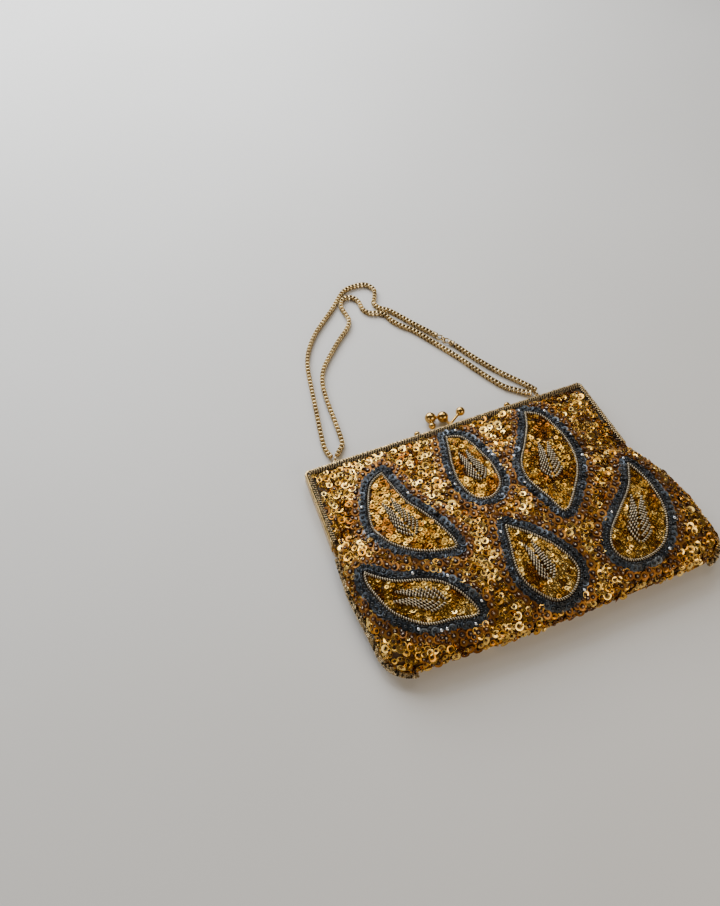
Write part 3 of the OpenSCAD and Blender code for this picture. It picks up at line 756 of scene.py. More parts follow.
def cloth_give(grid):
    """How the front cloth moves when it is held at its border and filled from inside: a cloth
    simulation on a coarse copy, ten times full size, with no gravity and a limit on its travel."""
    enlarge, most, frames = 0.01, 1.5, 20
    coarse = grid[::EVERY, ::EVERY]
    rows, columns = coarse.shape[0] - 1, coarse.shape[1] - 1
    mesh = bpy.data.meshes.new("cloth_copy")
    corners = (coarse.reshape(-1, 3) * enlarge).tolist()
    mesh.from_pydata(corners, [], grid_faces(rows, columns).tolist())
    copy = bpy.data.objects.new("cloth_copy", mesh)
    scene.collection.objects.link(copy)
    number = np.arange((rows + 1) * (columns + 1)).reshape(rows + 1, columns + 1)
    border = set(number.ravel().tolist()) - set(number[1:-1, 1:-1].ravel().tolist())
    pins = copy.vertex_groups.new(name="pins")
    pins.add(sorted(border), 1.0, "REPLACE")
    cloth = copy.modifiers.new("cloth", "CLOTH")
    cloth.settings.vertex_group_mass = "pins"
    cloth.settings.quality = 6
    cloth.settings.tension_stiffness = 20
    cloth.settings.compression_stiffness = 8
    cloth.settings.shear_stiffness = 5
    cloth.settings.bending_stiffness = 0.3
    cloth.settings.use_pressure = True
    cloth.settings.uniform_pressure_force = 1.2
    cloth.settings.effector_weights.gravity = 0
    cloth.collision_settings.use_collision = False
    cloth.point_cache.frame_end = frames
    for step in range(1, frames + 1):
        scene.frame_set(step)
    solved = copy.evaluated_get(bpy.context.evaluated_depsgraph_get()).data
    moved = np.empty(len(solved.vertices) * 3)
    solved.vertices.foreach_get("co", moved)
    shift = moved.reshape(coarse.shape) / enlarge - coarse
    scene.frame_set(1)
    bpy.data.objects.remove(copy)
    inward = np.minimum((shift * facing(coarse)).sum(-1, keepdims=True), 0)
    shift = shift - inward * facing(coarse)
    size = np.linalg.norm(shift, axis=-1, keepdims=True)
    print("cloth moved", round(float(size.max()), 2), "mm before the limit")
    return between(shift * most * np.tanh(size / most) / np.maximum(size, 1e-6))


flat_front = pouch_grid(front_height, CLOTH_TOP, FRONT_ROWS, FRONT_COLUMNS, FRONT_INSET)
give = cloth_give(flat_front)
give = give * smooth((flat_front[..., 1:2] + STILL_BELOW) / 30)
front = Cloth(flat_front + give, 1.0)
back = Cloth(pouch_grid(back_height, CLOTH_TOP, BACK_ROWS, BACK_COLUMNS, BACK_INSET), -1.0)


def cloth_shell(name, upper, lower, material):
    """A closed shell between two grids of the same size."""
    rows, columns = upper.shape[0] - 1, upper.shape[1] - 1
    count = (rows + 1) * (columns + 1)
    top = grid_faces(rows, columns)
    n = columns + 1
    border = np.concatenate([
        np.arange(n), np.arange(1, rows + 1) * n + columns,
        rows * n + np.arange(columns - 1, -1, -1), np.arange(rows - 1, 0, -1) * n])
    after = np.roll(border, -1)
    wall = np.stack([border, after, after + count, border + count], axis=1)
    v, u = np.meshgrid(np.linspace(0, 0.98, rows + 1), np.linspace(0, 0.48, n), indexing="ij")
    uv = np.stack([u, v], axis=-1).reshape(-1, 2)
    uv = np.concatenate([uv, uv + [0.5, 0]])
    points = np.concatenate([upper.reshape(-1, 3), lower.reshape(-1, 3)])
    faces = [np.concatenate([top, top[:, ::-1] + count, wall])]
    return build(name, points, faces, material, uv)


def ripple(grid, height, length):
    """A grid with soft uneven waves, as loose cloth has."""
    x, y = grid[..., 0] / length, grid[..., 1] / length
    wave = np.sin(2.1 * x + 1.3 * y) + np.sin(-1.2 * x + 2.6 * y + 1) + np.sin(3.4 * x - 0.7 * y + 2)
    edge = np.minimum(np.arange(grid.shape[0])[:, None], np.arange(grid.shape[1])[None])
    far = np.minimum(grid.shape[0] - 1 - np.arange(grid.shape[0])[:, None],
                     grid.shape[1] - 1 - np.arange(grid.shape[1])[None])
    fade = smooth(np.minimum(edge, far) / 8)
    moved = grid.copy()
    moved[..., 2] += height * wave / 3 * fade
    return moved


def lining_shell(name, height, top, insets, waves):
    """A satin sheet between two insets in the pouch, with soft waves."""
    upper, lower = (ripple(pouch_grid(height, top, LINING_ROWS, LINING_COLUMNS, inset, True), *waves)
                    for inset in insets)
    return cloth_shell(name, upper, lower, SATIN)


def make_cloth():
    """The cloth under the sequins, and the satin lining, each in a front and a back sheet."""
    lower = pouch_grid(front_height, CLOTH_TOP, FRONT_ROWS, FRONT_COLUMNS, CLOTH_INSET) + give
    front_cloth = cloth_shell("front_cloth", front.grid, lower, BACKING)
    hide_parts("front_panel_upper", "front_crease", "front_panel_lower")
    across_hinge(front_cloth)

    upper = pouch_grid(back_height, CLOTH_TOP, BACK_ROWS, BACK_COLUMNS, CLOTH_INSET)
    back_cloth = cloth_shell("back_cloth", upper, back.grid, BACKING)
    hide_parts("rear_panel")
    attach(back_cloth, "bag")

    lining = lining_shell("front_lining", front_height, -BAND - 1,
                          (LINING_INSET, LINING_INSET + LINING), (0.4, 14))
    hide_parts("front_lining_upper", "front_lining_crease", "front_lining_lower")
    across_hinge(lining)

    lining = lining_shell("rear_lining_satin", back_height, -BAND - 2,
                          (REAR_LINING_INSET + LINING, REAR_LINING_INSET), (0.25, 12))
    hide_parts("rear_lining")
    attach(lining, "bag")


def make_pocket():
    """The patch pocket on the back lining, with a rolled hem and a line of stitches round it."""
    corner, proud, thick, columns = 6.0, 0.1, 0.45, 61
    low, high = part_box("inner_pocket")
    x0, y0, _ = np.array(low) / MM - ORIGIN
    x1, y1, z1 = np.array(high) / MM - ORIGIN
    v, u = np.meshgrid(np.linspace(0, 1, 41), np.linspace(0, 1, columns), indexing="ij")
    narrow = corner_cut(v * (y1 - y0), corner)
    x = (x0 + x1) / 2 + (u - 0.5) * (x1 - x0 - 2 * narrow)
    y = y1 - v * (y1 - y0)
    wave = 0.12 * np.sin(x / 5) * smooth((y - y0) / 50)
    upper = np.stack([x, y0 + (y1 - y), z1 + proud + wave], axis=-1)[::-1]
    lower = upper - [0, 0, thick]
    pocket = cloth_shell("pocket_satin", upper, lower, SATIN)
    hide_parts("inner_pocket")
    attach(pocket, "bag")
    hem_path = np.stack([np.linspace(x0 + 0.2, x1 - 0.2, columns), np.full(columns, y1),
                         np.full(columns, z1 + proud)], axis=1)
    points, faces, uv, _ = tubes([hem_path], UP, radius=0.55, sides=8)
    hem = build("pocket_hem", points, faces, SATIN, uv)
    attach(hem, "bag")
    stitch_line(x0 + 1.5, x1 - 1.5, y0 + 1.5, y1 - 1.0, z1 + 0.2, corner)


def stitch_line(x0, x1, y0, y1, z, corner):
    """Short stitches along the pocket's sides and its lower edge."""
    every, half, rise = 2.2, 0.7, 0.1
    turn = np.radians(np.linspace(0, 90, 8))
    aside, y = corner * (1 - np.sin(turn)), y0 + corner * (1 - np.cos(turn))
    left, right = np.stack([x0 + aside, y], axis=1)[::-1], np.stack([x1 - aside, y], axis=1)
    path = np.concatenate([[[x0, y1]], left, right, [[x1, y1]]])
    spots = spaced(at_height(path, z), every)
    tangent = unit(np.gradient(spots, axis=0))
    reach = np.linspace(-half, half, 5)[None, :, None]
    arch = rise * (1 - (reach / half) ** 2) * UP
    points, faces, uv, _ = tubes(spots[:, None] + reach * tangent[:, None] + arch,
                                 UP, radius=0.14, sides=6)
    stitches = build("pocket_stitches", points, faces, THREAD, uv)
    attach(stitches, "bag")


make_cloth()
make_pocket()


# ---------------------------------------------------------------- leaves: where they are

class Leaf:
    """A leaf's outline in the plan, and the distance of any point from it."""

    def __init__(self, outline, foot, point):
        loop = curve(list(outline) + [outline[0]], 12)
        self.loop = spaced(loop, 0.5)
        area = np.sum(self.loop[:-1, 0] * self.loop[1:, 1] - self.loop[1:, 0] * self.loop[:-1, 1])
        self.turn = 1.0 if area > 0 else -1.0
        self.foot, self.point = np.array(foot, float), np.array(point, float)

    def distance(self, plan):
        """Distance outside the outline, negative inside it."""
        near = np.full(len(plan), 1e9)
        for k in range(0, len(self.loop), 64):
            part = self.loop[k:k + 64]
            apart = plan[:, None, :2] - part[None]
            near = np.minimum(near, (apart ** 2).sum(-1).min(1))
        a, b = self.loop[:-1], self.loop[1:]
        inside = np.zeros(len(plan), bool)
        for (ax, ay), (bx, by) in zip(a, b):
            if ay == by:
                continue
            crosses = (ay > plan[:, 1]) != (by > plan[:, 1])
            inside ^= crosses & (plan[:, 0] < (bx - ax) * (plan[:, 1] - ay) / (by - ay) + ax)
        return np.sqrt(near) * np.where(inside, -1, 1)

    def row(self, distance, gap):
        """Points a gap apart on the line that runs round the leaf at a distance outside it."""
        tangent = unit(np.gradient(self.loop, axis=0))
        outward = np.stack([tangent[:, 1], -tangent[:, 0]], axis=1) * self.turn
        angles = np.unwrap(np.arctan2(outward[:, 1], outward[:, 0]))
        closing = (angles[0] - angles[-1] + math.pi) % (2 * math.pi) - math.pi
        fan = angles[-1] + closing * np.linspace(0, 1, 12)[1:]
        line = np.concatenate([
            self.loop + distance * outward,
            self.loop[0] + distance * np.stack([np.cos(fan), np.sin(fan)], axis=1)])
        line = line[self.distance(line) > distance - 0.2]
        steps = np.linalg.norm(np.diff(line, axis=0), axis=1)
        line = line[np.concatenate([[True], steps > 0.02])]
        return spaced(line, gap)[:-1]


leaves = {name: Leaf(*shape) for name, shape in LEAVES.items()}


def leaf_distances(plan):
    return np.stack([leaf.distance(plan) for leaf in leaves.values()], axis=1)


# ---------------------------------------------------------------- sequins and beads

def cup_sequin(sides, depth):
    """A cup sequin of radius 1: a flat middle round its hole, and a sloping rim."""
    profile = [(0.17, 0.02), (0.40, 0.03), (0.94, depth), (1.0, depth - 0.02), (0.42, 0.0),
               (0.17, 0.0)]
    return ring_solid(profile, sides)


def seed_bead(sides):
    """A seed bead of radius 1, with its hole up."""
    turn = np.radians(np.arange(0, 360, 60) + 30)
    profile = np.stack([0.62 + 0.38 * np.cos(turn), 0.60 * np.sin(turn)], axis=1)
    return ring_solid(profile, sides)


def dot(sides):
    """A small faceted bead of radius 1, with a hole too small to show."""
    return ring_solid([(0.12, 0.62), (0.72, 0.5), (1.0, 0.0), (0.72, -0.5), (0.12, -0.62)], sides)


SEQUIN, LOW_SEQUIN = cup_sequin(12, 0.33), cup_sequin(11, 0.2)
BEAD, SMALL_BEAD, DOT = seed_bead(9), seed_bead(6), dot(8)


def make_items(name, shape, places, axes, sizes, material, slot, tints, floor=None):
    """One piece of many sequins or beads, each with its own tint."""
    points, faces, uv = copies(shape, places, axes, sizes)
    if floor is not None:
        points[:, 2] = np.maximum(points[:, 2], floor)
    tint = np.repeat(tints, len(shape[0]))
    return build(name, points, [faces], material, uv, {"tint": tint})


def any_tint(count, low=0.0, high=1.0):
    return rng.uniform(low, high, count)


def patches(place, size):
    """Slow changes between 0 and 1 over the face, a size across."""
    x, y = place[:, 0] / size, place[:, 1] / size
    wave = np.sin(2.3 * x + 1.1 * y) + np.sin(-1.4 * x + 2.7 * y + 1) + np.sin(3.1 * x - 1.9 * y + 4)
    return 0.5 + wave / 6


TOP_TRIM, ARM_TRIM = 5.8, 4.6


def in_band(place):
    """True where the beaded edge of the frame covers the front."""
    x, y = place[:, 0], place[:, 1]
    return (y > -TOP_TRIM) | ((y > -ARM_LENGTH + 2) & (np.abs(x) > arm_x(y, ARM_TRIM)))


def sew_front(*items):
    """A piece of sequins or beads on the front; items are as for make_items."""
    across_hinge(make_items(*items))


def sew_rows(name, shape, material, slot, distance, gap, radius, clear, tilt, lift, tint_range=(0, 1)):
    """A row of sequins or beads round every leaf, left out where another leaf's border comes first."""
    plans = []
    for k, leaf in enumerate(leaves.values()):
        row = leaf.row(distance, gap)
        away = leaf_distances(row)
        away[:, k] = 1e9
        keep = (away.min(1) > clear) & ~in_band(row)
        inside = np.abs(row[:, 0] - cloth_middle(row[:, 1])) < cloth_half(row[:, 1]) - 2.2
        plans.append(row[keep & inside & (row[:, 1] > -cloth_depth(row[:, 0]) + 2.5)])
    plan = np.concatenate(plans)
    place, normal = front.drop(plan, lift)
    kept = thin(place, np.full(len(place), gap * 0.72))
    place, normal = place[kept], normal[kept]
    place = place + normal * rng.uniform(-0.15, 0.35, (len(place), 1))
    axes = tilted_axes(normal, tilt)
    sizes = radius * rng.uniform(0.9, 1.08, len(place))
    sew_front(name, shape, place, axes, sizes, material, slot, any_tint(len(place), *tint_range))
    return place, axes


def sew_centres(name, place, axes, shape, material, radius, lift, tint_range=(0, 1)):
    """A bead in the middle of every sequin, lifted off it."""
    spots = place + axes[:, :, 2] * lift
    sizes = radius * rng.uniform(0.88, 1.1, len(place))
    sew_front(name, shape, spots, axes, sizes, material, "dark_beads",
              any_tint(len(spots), *tint_range))


def sew_borders():
    """Round each leaf: dark beads, steel-blue sequins with dark beads, then bronze sequins with brown
    ring beads, each topped with a pale dot that is a painted highlight.
    """
    sew_rows("border_beads", BEAD, BLACK_BEAD, "dark_beads",
             distance=1.9, gap=2.1, radius=1.15, clear=1.3, tilt=25, lift=0.9)
    steel, axes = sew_rows("border_sequins", SEQUIN, STEEL_SEQUIN, "sequin_cloth",
                           distance=4.1, gap=3.2, radius=2.35, clear=4.0, tilt=17, lift=0.45)
    sew_centres("border_centres", steel, axes, BEAD, BLACK_BEAD,
                radius=1.2, lift=0.8, tint_range=(0.1, 1))
    shiny = rng.uniform(size=len(steel)) < 0.07
    sew_centres("border_glints", steel[shiny], axes[shiny], DOT, GLASS_BEAD,
                radius=1.0, lift=1.6, tint_range=(0.6, 1))
    bronze, axes = sew_rows("bronze_sequins", SEQUIN, BRONZE_SEQUIN, "sequin_cloth", distance=8.1,
                            gap=4.6, radius=2.75, clear=7.1, tilt=9, lift=0.35, tint_range=(0.2, 1))
    sew_centres("bronze_rings", bronze, axes, BEAD, BROWN_BEAD, radius=1.5, lift=0.65)
    # Painted highlights: pale dots on top of the ring beads.
    sew_centres("bronze_lights", bronze, axes, DOT, HIGHLIGHT_BEAD, radius=0.66, lift=1.05)
    return np.concatenate([steel, bronze])


def sew_field(sewn):
    """Gold cup sequins of mixed sizes over all of the front that the leaves' borders leave free."""
    border, brown_within = 5.9, 11.5
    place, normal = front.scatter(42000)
    near = leaf_distances(place).min(1)
    free = (near > border) & ~in_band(place)
    place, normal, near = place[free], normal[free], near[free]
    top = smooth((place[:, 1] + 85) / 70)
    small = rng.uniform(size=len(place)) < 0.35 + 0.25 * top
    radius = np.where(small, rng.uniform(1.7, 2.1, len(place)), rng.uniform(2.3, 2.8, len(place)))
    gaps = np.concatenate([np.full(len(sewn), 0.01), radius * 1.16])
    kept = thin(np.concatenate([sewn, place]), gaps)
    kept = kept[kept >= len(sewn)] - len(sewn)
    place, normal, radius, near = place[kept], normal[kept], radius[kept], near[kept]
    axes = tilted_axes(normal, spread=19, most=38)
    place = place + normal * rng.uniform(0.05, 0.95, (len(place), 1))
    brown = rng.uniform(size=len(place)) < np.where(near < brown_within, 0.4, 0.06)
    tints = 0.15 + 0.85 * rng.uniform(size=len(place))
    tints = tints - 0.25 * smooth((patches(place, 24) - 0.6) / 0.3)
    left = place[:, 0] < 0
    for part, which in (("left", ~brown & left), ("right", ~brown & ~left)):
        sew_front(f"field_sequins_{part}", SEQUIN, place[which], axes[which], radius[which],
                  GOLD_SEQUIN, "sequin_cloth", tints[which])
        sew_centres(f"field_beads_{part}", place[which], axes[which], BEAD, SEED_BEAD,
                    radius=0.74, lift=0.55, tint_range=(0, 0.95))
    place, axes = place[brown], axes[brown]
    sew_front("field_sequins_brown", SEQUIN, place, axes, radius[brown], BRONZE_SEQUIN,
              "sequin_cloth", any_tint(len(place), 0.3, 1))
    sew_centres("field_rings_brown", place, axes, BEAD, BROWN_BEAD, radius=1.2, lift=0.65)
    # Painted highlights: pale dots on top of the ring beads.
    sew_centres("field_lights_brown", place, axes, DOT, HIGHLIGHT_BEAD, radius=0.5, lift=0.95)
    print("field sequins", len(brown))


def sew_leaf_fill():
    """Small gold sequins close together inside each leaf, with patches of amber, and painted shade
    that darkens them towards the frame's top edge.
    """
    inside_cord, gap = -1.2, 1.65
    place, normal = front.scatter(80000)
    inside = leaf_distances(place).min(1) < inside_cord
    place, normal = place[inside], normal[inside]
    kept = thin(place, np.full(len(place), gap))
    place, normal = place[kept], normal[kept]
    axes = tilted_axes(normal, spread=15)
    place = place + normal * rng.uniform(0.05, 0.8, (len(place), 1))
    amber = smooth((patches(place, 13) - 0.52) / 0.3)
    # Painted shade: tints drop towards the frame, dulling the window's highlights on the upper leaves.
    painted_shade_up = smooth((place[:, 1] + 125) / 60)
    tints = np.clip(rng.uniform(0.3, 1.0, len(place)) - 0.5 * amber - 0.28 * painted_shade_up, 0, 1)
    sew_front("leaf_sequins", LOW_SEQUIN, place, axes, rng.uniform(1.3, 1.75, len(place)),
              AMBER_SEQUIN, "sequin_cloth", tints)
    print("leaf sequins", len(place))


def sew_back():
    """Flatter gold sequins over the back and up round the sides to the seams."""
    above_table = 0.02
    place, normal = back.scatter(60000)
    x, y = place[:, 0], place[:, 1]
    framed = (y > -4) | ((y > -ARM_LENGTH - 2) & (np.abs(x) > arm_x(y, 3.5)))
    place, normal = place[~framed], normal[~framed]
    radius = rng.uniform(2.3, 2.9, len(place))
    kept = thin(place, radius * 1.08)
    place, normal, radius = place[kept], normal[kept], radius[kept]
    axes = tilted_axes(normal, spread=4, most=10)
    for part, which in (("left", place[:, 0] < 0), ("right", place[:, 0] >= 0)):
        piece = make_items(f"back_sequins_{part}", LOW_SEQUIN, place[which], axes[which],
                           radius[which], GOLD_SEQUIN, "sequin_cloth",
                           any_tint(which.sum(), 0.2, 1), above_table)
        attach(piece, "bag")
    spots = place + axes[:, :, 2] * 0.2
    piece = make_items("back_beads", SMALL_BEAD, spots, axes, np.full(len(spots), 0.7), SEED_BEAD,
                       "dark_beads", any_tint(len(spots), 0, 0.9), above_table)
    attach(piece, "bag")
    print("back sequins", len(place))


sew_field(sew_borders())
sew_leaf_fill()
sew_back()


# ---------------------------------------------------------------- leaves: cords and feathers

def feather_barbs(leaf, pairs=7):
    """Plan curves of a feather: pairs of barbs that leave its middle line and lean to its point."""
    quill = leaf.point - leaf.foot
    length = np.linalg.norm(quill)
    ahead = quill / length
    side = np.array([ahead[1], -ahead[0]])
    t = np.linspace(0, 1, 24)[:, None]
    barbs = []
    for k in range(pairs):
        share = k / (pairs - 1)
        reach = length * (0.31 - 0.03 * share)
        angle = math.radians(40 - 24 * share)
        for hand in (-1, 1):
            start = leaf.foot + ahead * length * (0.06 + 0.63 * share) + hand * side * 0.85
            out = hand * side
            bend = start + 0.55 * reach * (math.cos(1.2 * angle) * ahead + math.sin(1.2 * angle) * out)
            tip = start + reach * (math.cos(0.9 * angle) * ahead + math.sin(0.9 * angle) * out)
            barbs.append((1 - t) ** 2 * start + 2 * t * (1 - t) * bend + t ** 2 * tip)
    return np.array(barbs)


def sew_leaf(name, leaf):
    """The twisted cord round a leaf and the feather of bullion wire inside it."""
    pitch = 1.4
    places, normals = front.drop(spaced(leaf.loop, pitch / 7), 1.0)
    cord = tubes([places], normals[None], radius=0.82, sides=8, pitch=pitch, depth=0.42)
    barbs = feather_barbs(leaf)
    spots, ups = front.drop(barbs.reshape(-1, 2), 1.7)
    spots, ups = spots.reshape(*barbs.shape[:2], 3), ups.reshape(*barbs.shape[:2], 3)
    fine = np.array([along(path, np.linspace(0, travel(path)[-1], 56)) for path in spots])
    feather = tubes(fine, ups[:, :1], radius=0.88, sides=8, pitch=1.7, depth=0.5)
    points, groove = (np.concatenate([cord[k], feather[k]]) for k in (0, 3))
    faces = cord[1] + [part + len(cord[0]) for part in feather[1]]
    uv = np.concatenate([cord[2] * [0.48, 1], feather[2] * [0.48, 1] + [0.5, 0]])
    # Painted highlights on the wire's turns and painted shade in its grooves, from the groove values.
    piece = build(name + "_wire", points, faces, SILVER_WIRE, uv, {"groove": groove})
    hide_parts(name)
    across_hinge(piece)


for leaf_name, leaf_shape in leaves.items():
    sew_leaf(leaf_name, leaf_shape)


# ---------------------------------------------------------------- frame

def band_path(e, end_y):
    """The line round the frame at a distance in from its outer edge, from the left arm's end."""
    middle, turn = FRAME_WIDTH / 2 - FRAME_CORNER, FRAME_CORNER - e
    bend = [(FRAME_WIDTH / 2 - e, -e)]
    if turn > 0:
        bend = [(middle + turn * math.cos(a), -FRAME_CORNER + turn * math.sin(a))
                for a in np.radians(np.linspace(0, 90, 9))]
    right = np.array([(float(arm_x(end_y, e)), end_y)] + bend)
    return np.concatenate([right * [-1, 1], right[::-1]])


def make_rims():
    """The rounded bright rims of the frame's two halves."""
    for name, body, z, radius in (("front_rim", "front_half", FRONT_HIGH + 0.5, 0.98),
                                  ("rear_rim", "bag", REAR_LOW - 0.33, 0.86)):
        path = at_height(spaced(band_path(0.8, -ARM_LENGTH + 3.5), 1.0), z)
        points, faces, uv, _ = tubes([path], UP, radius, 12)
        rim = build(name, points, faces, FRAME_METAL, uv)
        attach(rim, body)


def sew_edge():
    """Slanted coils of bullion wire side by side along the front of the frame, with painted shade in
    their grooves, on a near-black strip that paints shade in the gaps between them.
    """
    low, high, coil_height = FACE + 0.15, FACE + 0.5, FACE + 1.3
    coil_gap, arm_half, top_half, dip = 1.6, 1.6, 2.45, 0.35
    sides = [spaced(band_path(e, -ARM_LENGTH + 5.2), 2.0) for e in (1.9, 3.2, 4.5, TOP_TRIM)]
    rows = np.array([along(side, np.linspace(0, travel(side)[-1], 161)) for side in sides])
    upper = np.concatenate([rows, np.full((*rows.shape[:2], 1), high)], axis=-1)
    # Painted shade: a near-black strip under the coils darkens the gaps between them.
    shade_strip = cloth_shell("frame_edge_shade_strip", upper, upper - [0, 0, high - low], SHADE_STRIP)
    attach(shade_strip, "front_half")
    path = spaced(band_path(3.1, -ARM_LENGTH + 5.6), coil_gap)
    tangent = unit(np.gradient(path, axis=0))
    inward = np.stack([tangent[:, 1], -tangent[:, 0]], axis=1)
    arm = np.abs(tangent[:, 1:]) > 0.7
    path = np.where(arm, path - inward * 0.3, path)
    slant = math.radians(36) + rng.normal(0, 0.2, len(path))[:, None]
    way = np.cos(slant) * inward + np.sin(slant) * tangent
    t = np.linspace(-1, 1, 14)
    most = np.where(arm, arm_half, top_half)[..., None] * rng.uniform(0.9, 1.08, (len(path), 1, 1))
    plan = path[:, None] + t[None, :, None] * most * way[:, None]
    height = coil_height + 0.25 * (1 - t ** 2)[None] + rng.uniform(-0.05, 0.12, (len(path), 1))
    height = height - dip * np.maximum(t, 0)[None]
    spots = np.concatenate([plan, height[..., None]], axis=-1)
    points, faces, uv, groove = tubes(spots, UP, radius=0.6, sides=8, pitch=1.7, depth=0.36)
    edge = build("frame_edge_coils", points, faces, EDGE_WIRE, uv, {"groove": groove})
    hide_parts("front_edge_trim")
    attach(edge, "front_half")


def piping_path(side):
    """The side seam from the hinge down and a turn round the bottom corner."""
    t, straight = np.linspace(0, 1, 80), 0.7
    start, bend = -ARM_LENGTH - 5, CORNER - POUCH_HEIGHT
    y = start + (bend - start) * np.minimum(t / straight, 1)
    turn = np.radians(80 * np.maximum(t - straight, 0) / 0.3)
    reach = CORNER + PIPING
    x = cloth_middle(y) + side * (cloth_half(y) + PIPING - reach * (1 - np.cos(turn)))
    low = y - reach * np.sin(turn)
    stretch = (cloth_depth(x) + FOLD_BOTTOM) / (POUCH_HEIGHT + FOLD_BOTTOM)
    low = np.where(low > FOLD_BOTTOM, low, FOLD_BOTTOM + (low - FOLD_BOTTOM) * stretch)
    return np.stack([x, low, np.full(len(t), SEAM)], axis=1)


def sew_piping(name, side):
    """Rings of beads strung round the seam's cord."""
    around, bead_gap, ring_radius = 6, 1.2, 1.15
    path = spaced(piping_path(side), bead_gap)
    tangent = unit(np.gradient(path, axis=0))
    out = unit(np.cross(tangent, UP)) * (1 if side < 0 else -1)
    odd = np.arange(len(path)) % 2
    rings = []
    for k in range(around):
        angle = (math.radians(60 * k) + odd * math.radians(30))[:, None]
        rings.append(np.cos(angle) * out + np.sin(angle) * UP)
    place = np.concatenate([path + away * ring_radius for away in rings])
    place = place + rng.normal(0, 0.08, place.shape)
    frames = tilted_axes(np.concatenate(rings), spread=30)
    tints = np.where(any_tint(len(place)) < 0.25, any_tint(len(place), 0, 0.3),
                     any_tint(len(place), 0.45, 1))
    piece = make_items(name + "_beads", BEAD, place, frames, rng.uniform(0.6, 0.74, len(place)),
                       TRIM_BEAD, "dark_beads", tints)
    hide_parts(name)
    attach(piece, "bag")


make_rims()
sew_edge()
sew_piping("side_piping_left", -1)
sew_piping("side_piping_right", 1)


# ---------------------------------------------------------------- clasp

def ball_profile(radius, neck, steps=28):
    """Half outline of a ball that ends in a small collar where its stem enters."""
    angles = np.radians(np.linspace(2, 160, steps))
    ball = [(radius * math.sin(a), radius * math.cos(a)) for a in angles]
    foot = -radius - 0.15
    collar = [(0.45, 0.25), (0.5, 0), (0.2, -0.25), (0, -0.3)]
    return ball + [(neck + out, foot + up) for out, up in collar]


def ball_on_stem(name, node, centre, toward, radius, neck, body):
    """A polished ball with its collar, pointing down its stem."""
    points, faces = turned_solid(ball_profile(radius, neck), 40)
    up = unit(np.array(centre, float) - np.array(toward, float))
    side = unit(np.cross(UP, up))
    axes = np.stack([side, np.cross(up, side), up], axis=-1)
    piece = build(name, points @ axes.T + np.array(centre), faces, CLASP_GOLD)
    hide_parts(node)
    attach(piece, body)


def domed_stud(name, node, x):
    """A small domed stud with a foot ring, on the top edge of the front half."""
    y, z = 1.5, 6.2
    profile = [(0.05, 2.2), (0.6, 2.12), (1.2, 1.85), (1.7, 1.4), (2.05, 0.8), (2.2, 0.1),
               (2.1, -0.5), (1.75, -0.85), (1.7, -1.0), (1.95, -1.15), (2.0, -1.35),
               (1.9, -1.5), (0.5, -1.5)]
    points, faces = turned_solid(profile, 28)
    points = np.stack([points[:, 0] + x, points[:, 2] + y, z - points[:, 1]], axis=1)
    piece = build(name, points, faces, CLASP_GOLD)
    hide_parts(node)
    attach(piece, "front_half")


domed_stud("stud_left", "frame_stud_left", -21.0)
domed_stud("stud_right", "frame_stud_right", 45.0)
FRONT_ROOT, FRONT_BALL = (3, 1.6, 5.8), (13.7, 8.5, 5.8)
REAR_ROOT, KNUCKLE, CLUSTER, BEAD_AT = (4.5, 1.6, 2.6), (1.5, 9.8, 4), (-6.5, 12, 4), (-8, 5.8, 3.4)
ball_on_stem("front_ball", "front_clasp_ball", FRONT_BALL, FRONT_ROOT, 3.1, 0.95, "front_prong")
ball_on_stem("rear_ball", "rear_clasp_ball", CLUSTER, KNUCKLE, 3.8, 0.95, "rear_prong")
ball_on_stem("rear_knuckle", "rear_clasp_knuckle", KNUCKLE, REAR_ROOT, 3.8, 0.95, "rear_prong")
ball_on_stem("rear_bead", "rear_clasp_bead", BEAD_AT, CLUSTER, 2.4, 0.9, "rear_prong")

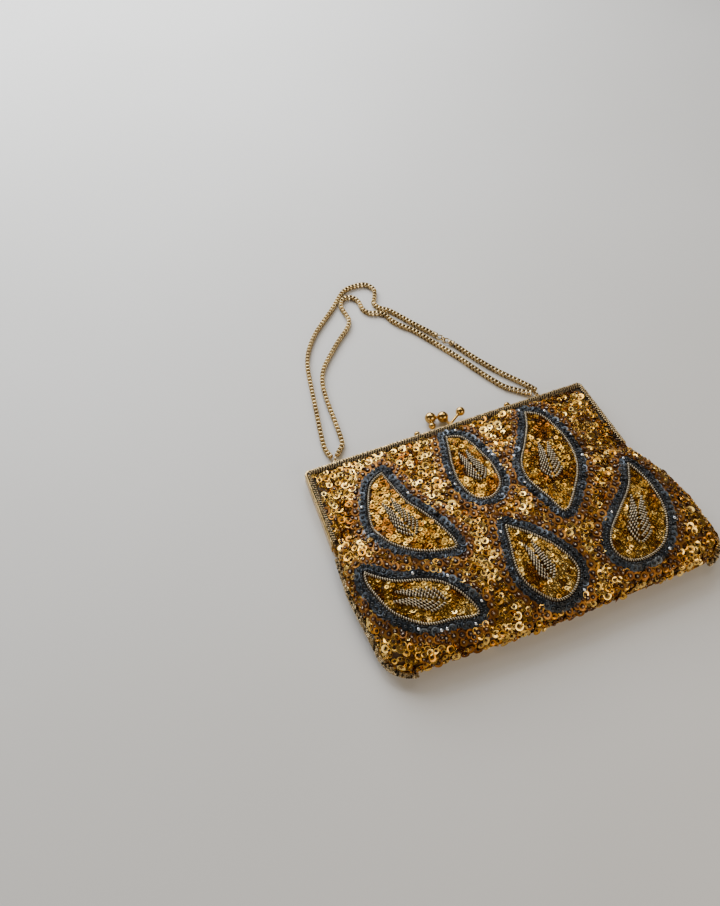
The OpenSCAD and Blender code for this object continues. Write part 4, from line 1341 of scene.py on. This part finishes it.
for metal, node_names in (
        (FRAME_METAL, ("rear_frame", "front_frame", "hinge_pin_left", "hinge_pin_right")),
        (CLASP_GOLD, ("front_clasp_stem", "rear_clasp_stem")),
        (CHAIN_GOLD, ("chain_eye_left", "chain_eye_right", "chain_ring_left", "chain_ring_right",
                      "joint_ring_upper", "joint_ring_lower", "joint_link"))):
    for node_name in node_names:
        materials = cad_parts[node_name].data.materials
        materials.clear()
        materials.append(metal)


# ---------------------------------------------------------------- table and light

def make_table():
    """A plain pale table top."""
    look = Look("table_top")
    colours = [(0.3, 0.70, 0.685, 0.66), (0.7, 0.74, 0.725, 0.705)]
    material = look.shade({"Base Color": look.ramp(look.noise(260.0, 2.0), colours),
                           "Roughness": 0.6})
    mesh = bpy.data.meshes.new("table_top")
    reach = 6.0
    mesh.from_pydata([(-reach, -reach, 0), (reach, -reach, 0), (reach, reach, 0), (-reach, reach, 0)],
                     [], [(0, 1, 2, 3)])
    mesh.materials.append(material)
    table = bpy.data.objects.new("table_top", mesh)
    scene.collection.objects.link(table)


def make_light():
    """A dim warm room: a cool window beyond the bag with a gap of sky above it, a pale ceiling,
    a low lamp and a far wall on the viewer's side, and a soft fill from the left."""
    world = bpy.data.worlds.new("room")
    world.use_nodes = True
    background = world.node_tree.nodes["Background"]
    background.inputs["Color"].default_value = (1.0, 0.84, 0.66, 1)
    background.inputs["Strength"].default_value = 0.09
    scene.world = world
    area_light("window", (-0.2, 0.92, 0.52), (-0.2, 0.38, 0), (1.1, 0.6), 17.0, (0.92, 0.96, 1.0))
    area_light("ceiling", (0.40, 0.46, 1.0), (0.1, 0.05, 0), (0.75, 0.6), 2.3, (1.0, 0.95, 0.87))
    area_light("lamp", (0.40, -0.80, 0.58), (0.05, -0.08, 0), (0.7, 0.4), 3.6, (1.0, 0.86, 0.66))
    area_light("wall", (0.45, -1.5, 0.30), (0.05, 0, 0), (1.6, 0.5), 2.2, (1.0, 0.86, 0.68))
    area_light("fill", (-1.0, -0.45, 0.42), (-0.1, 0, 0), (0.9, 0.6), 2.6, (1.0, 0.93, 0.84))
    area_light("sky_gap", (-0.1, 0.8, 0.95), (0, 0, 0), (0.14, 0.14), 1.6, (0.95, 0.98, 1.0))


make_table()
make_light()
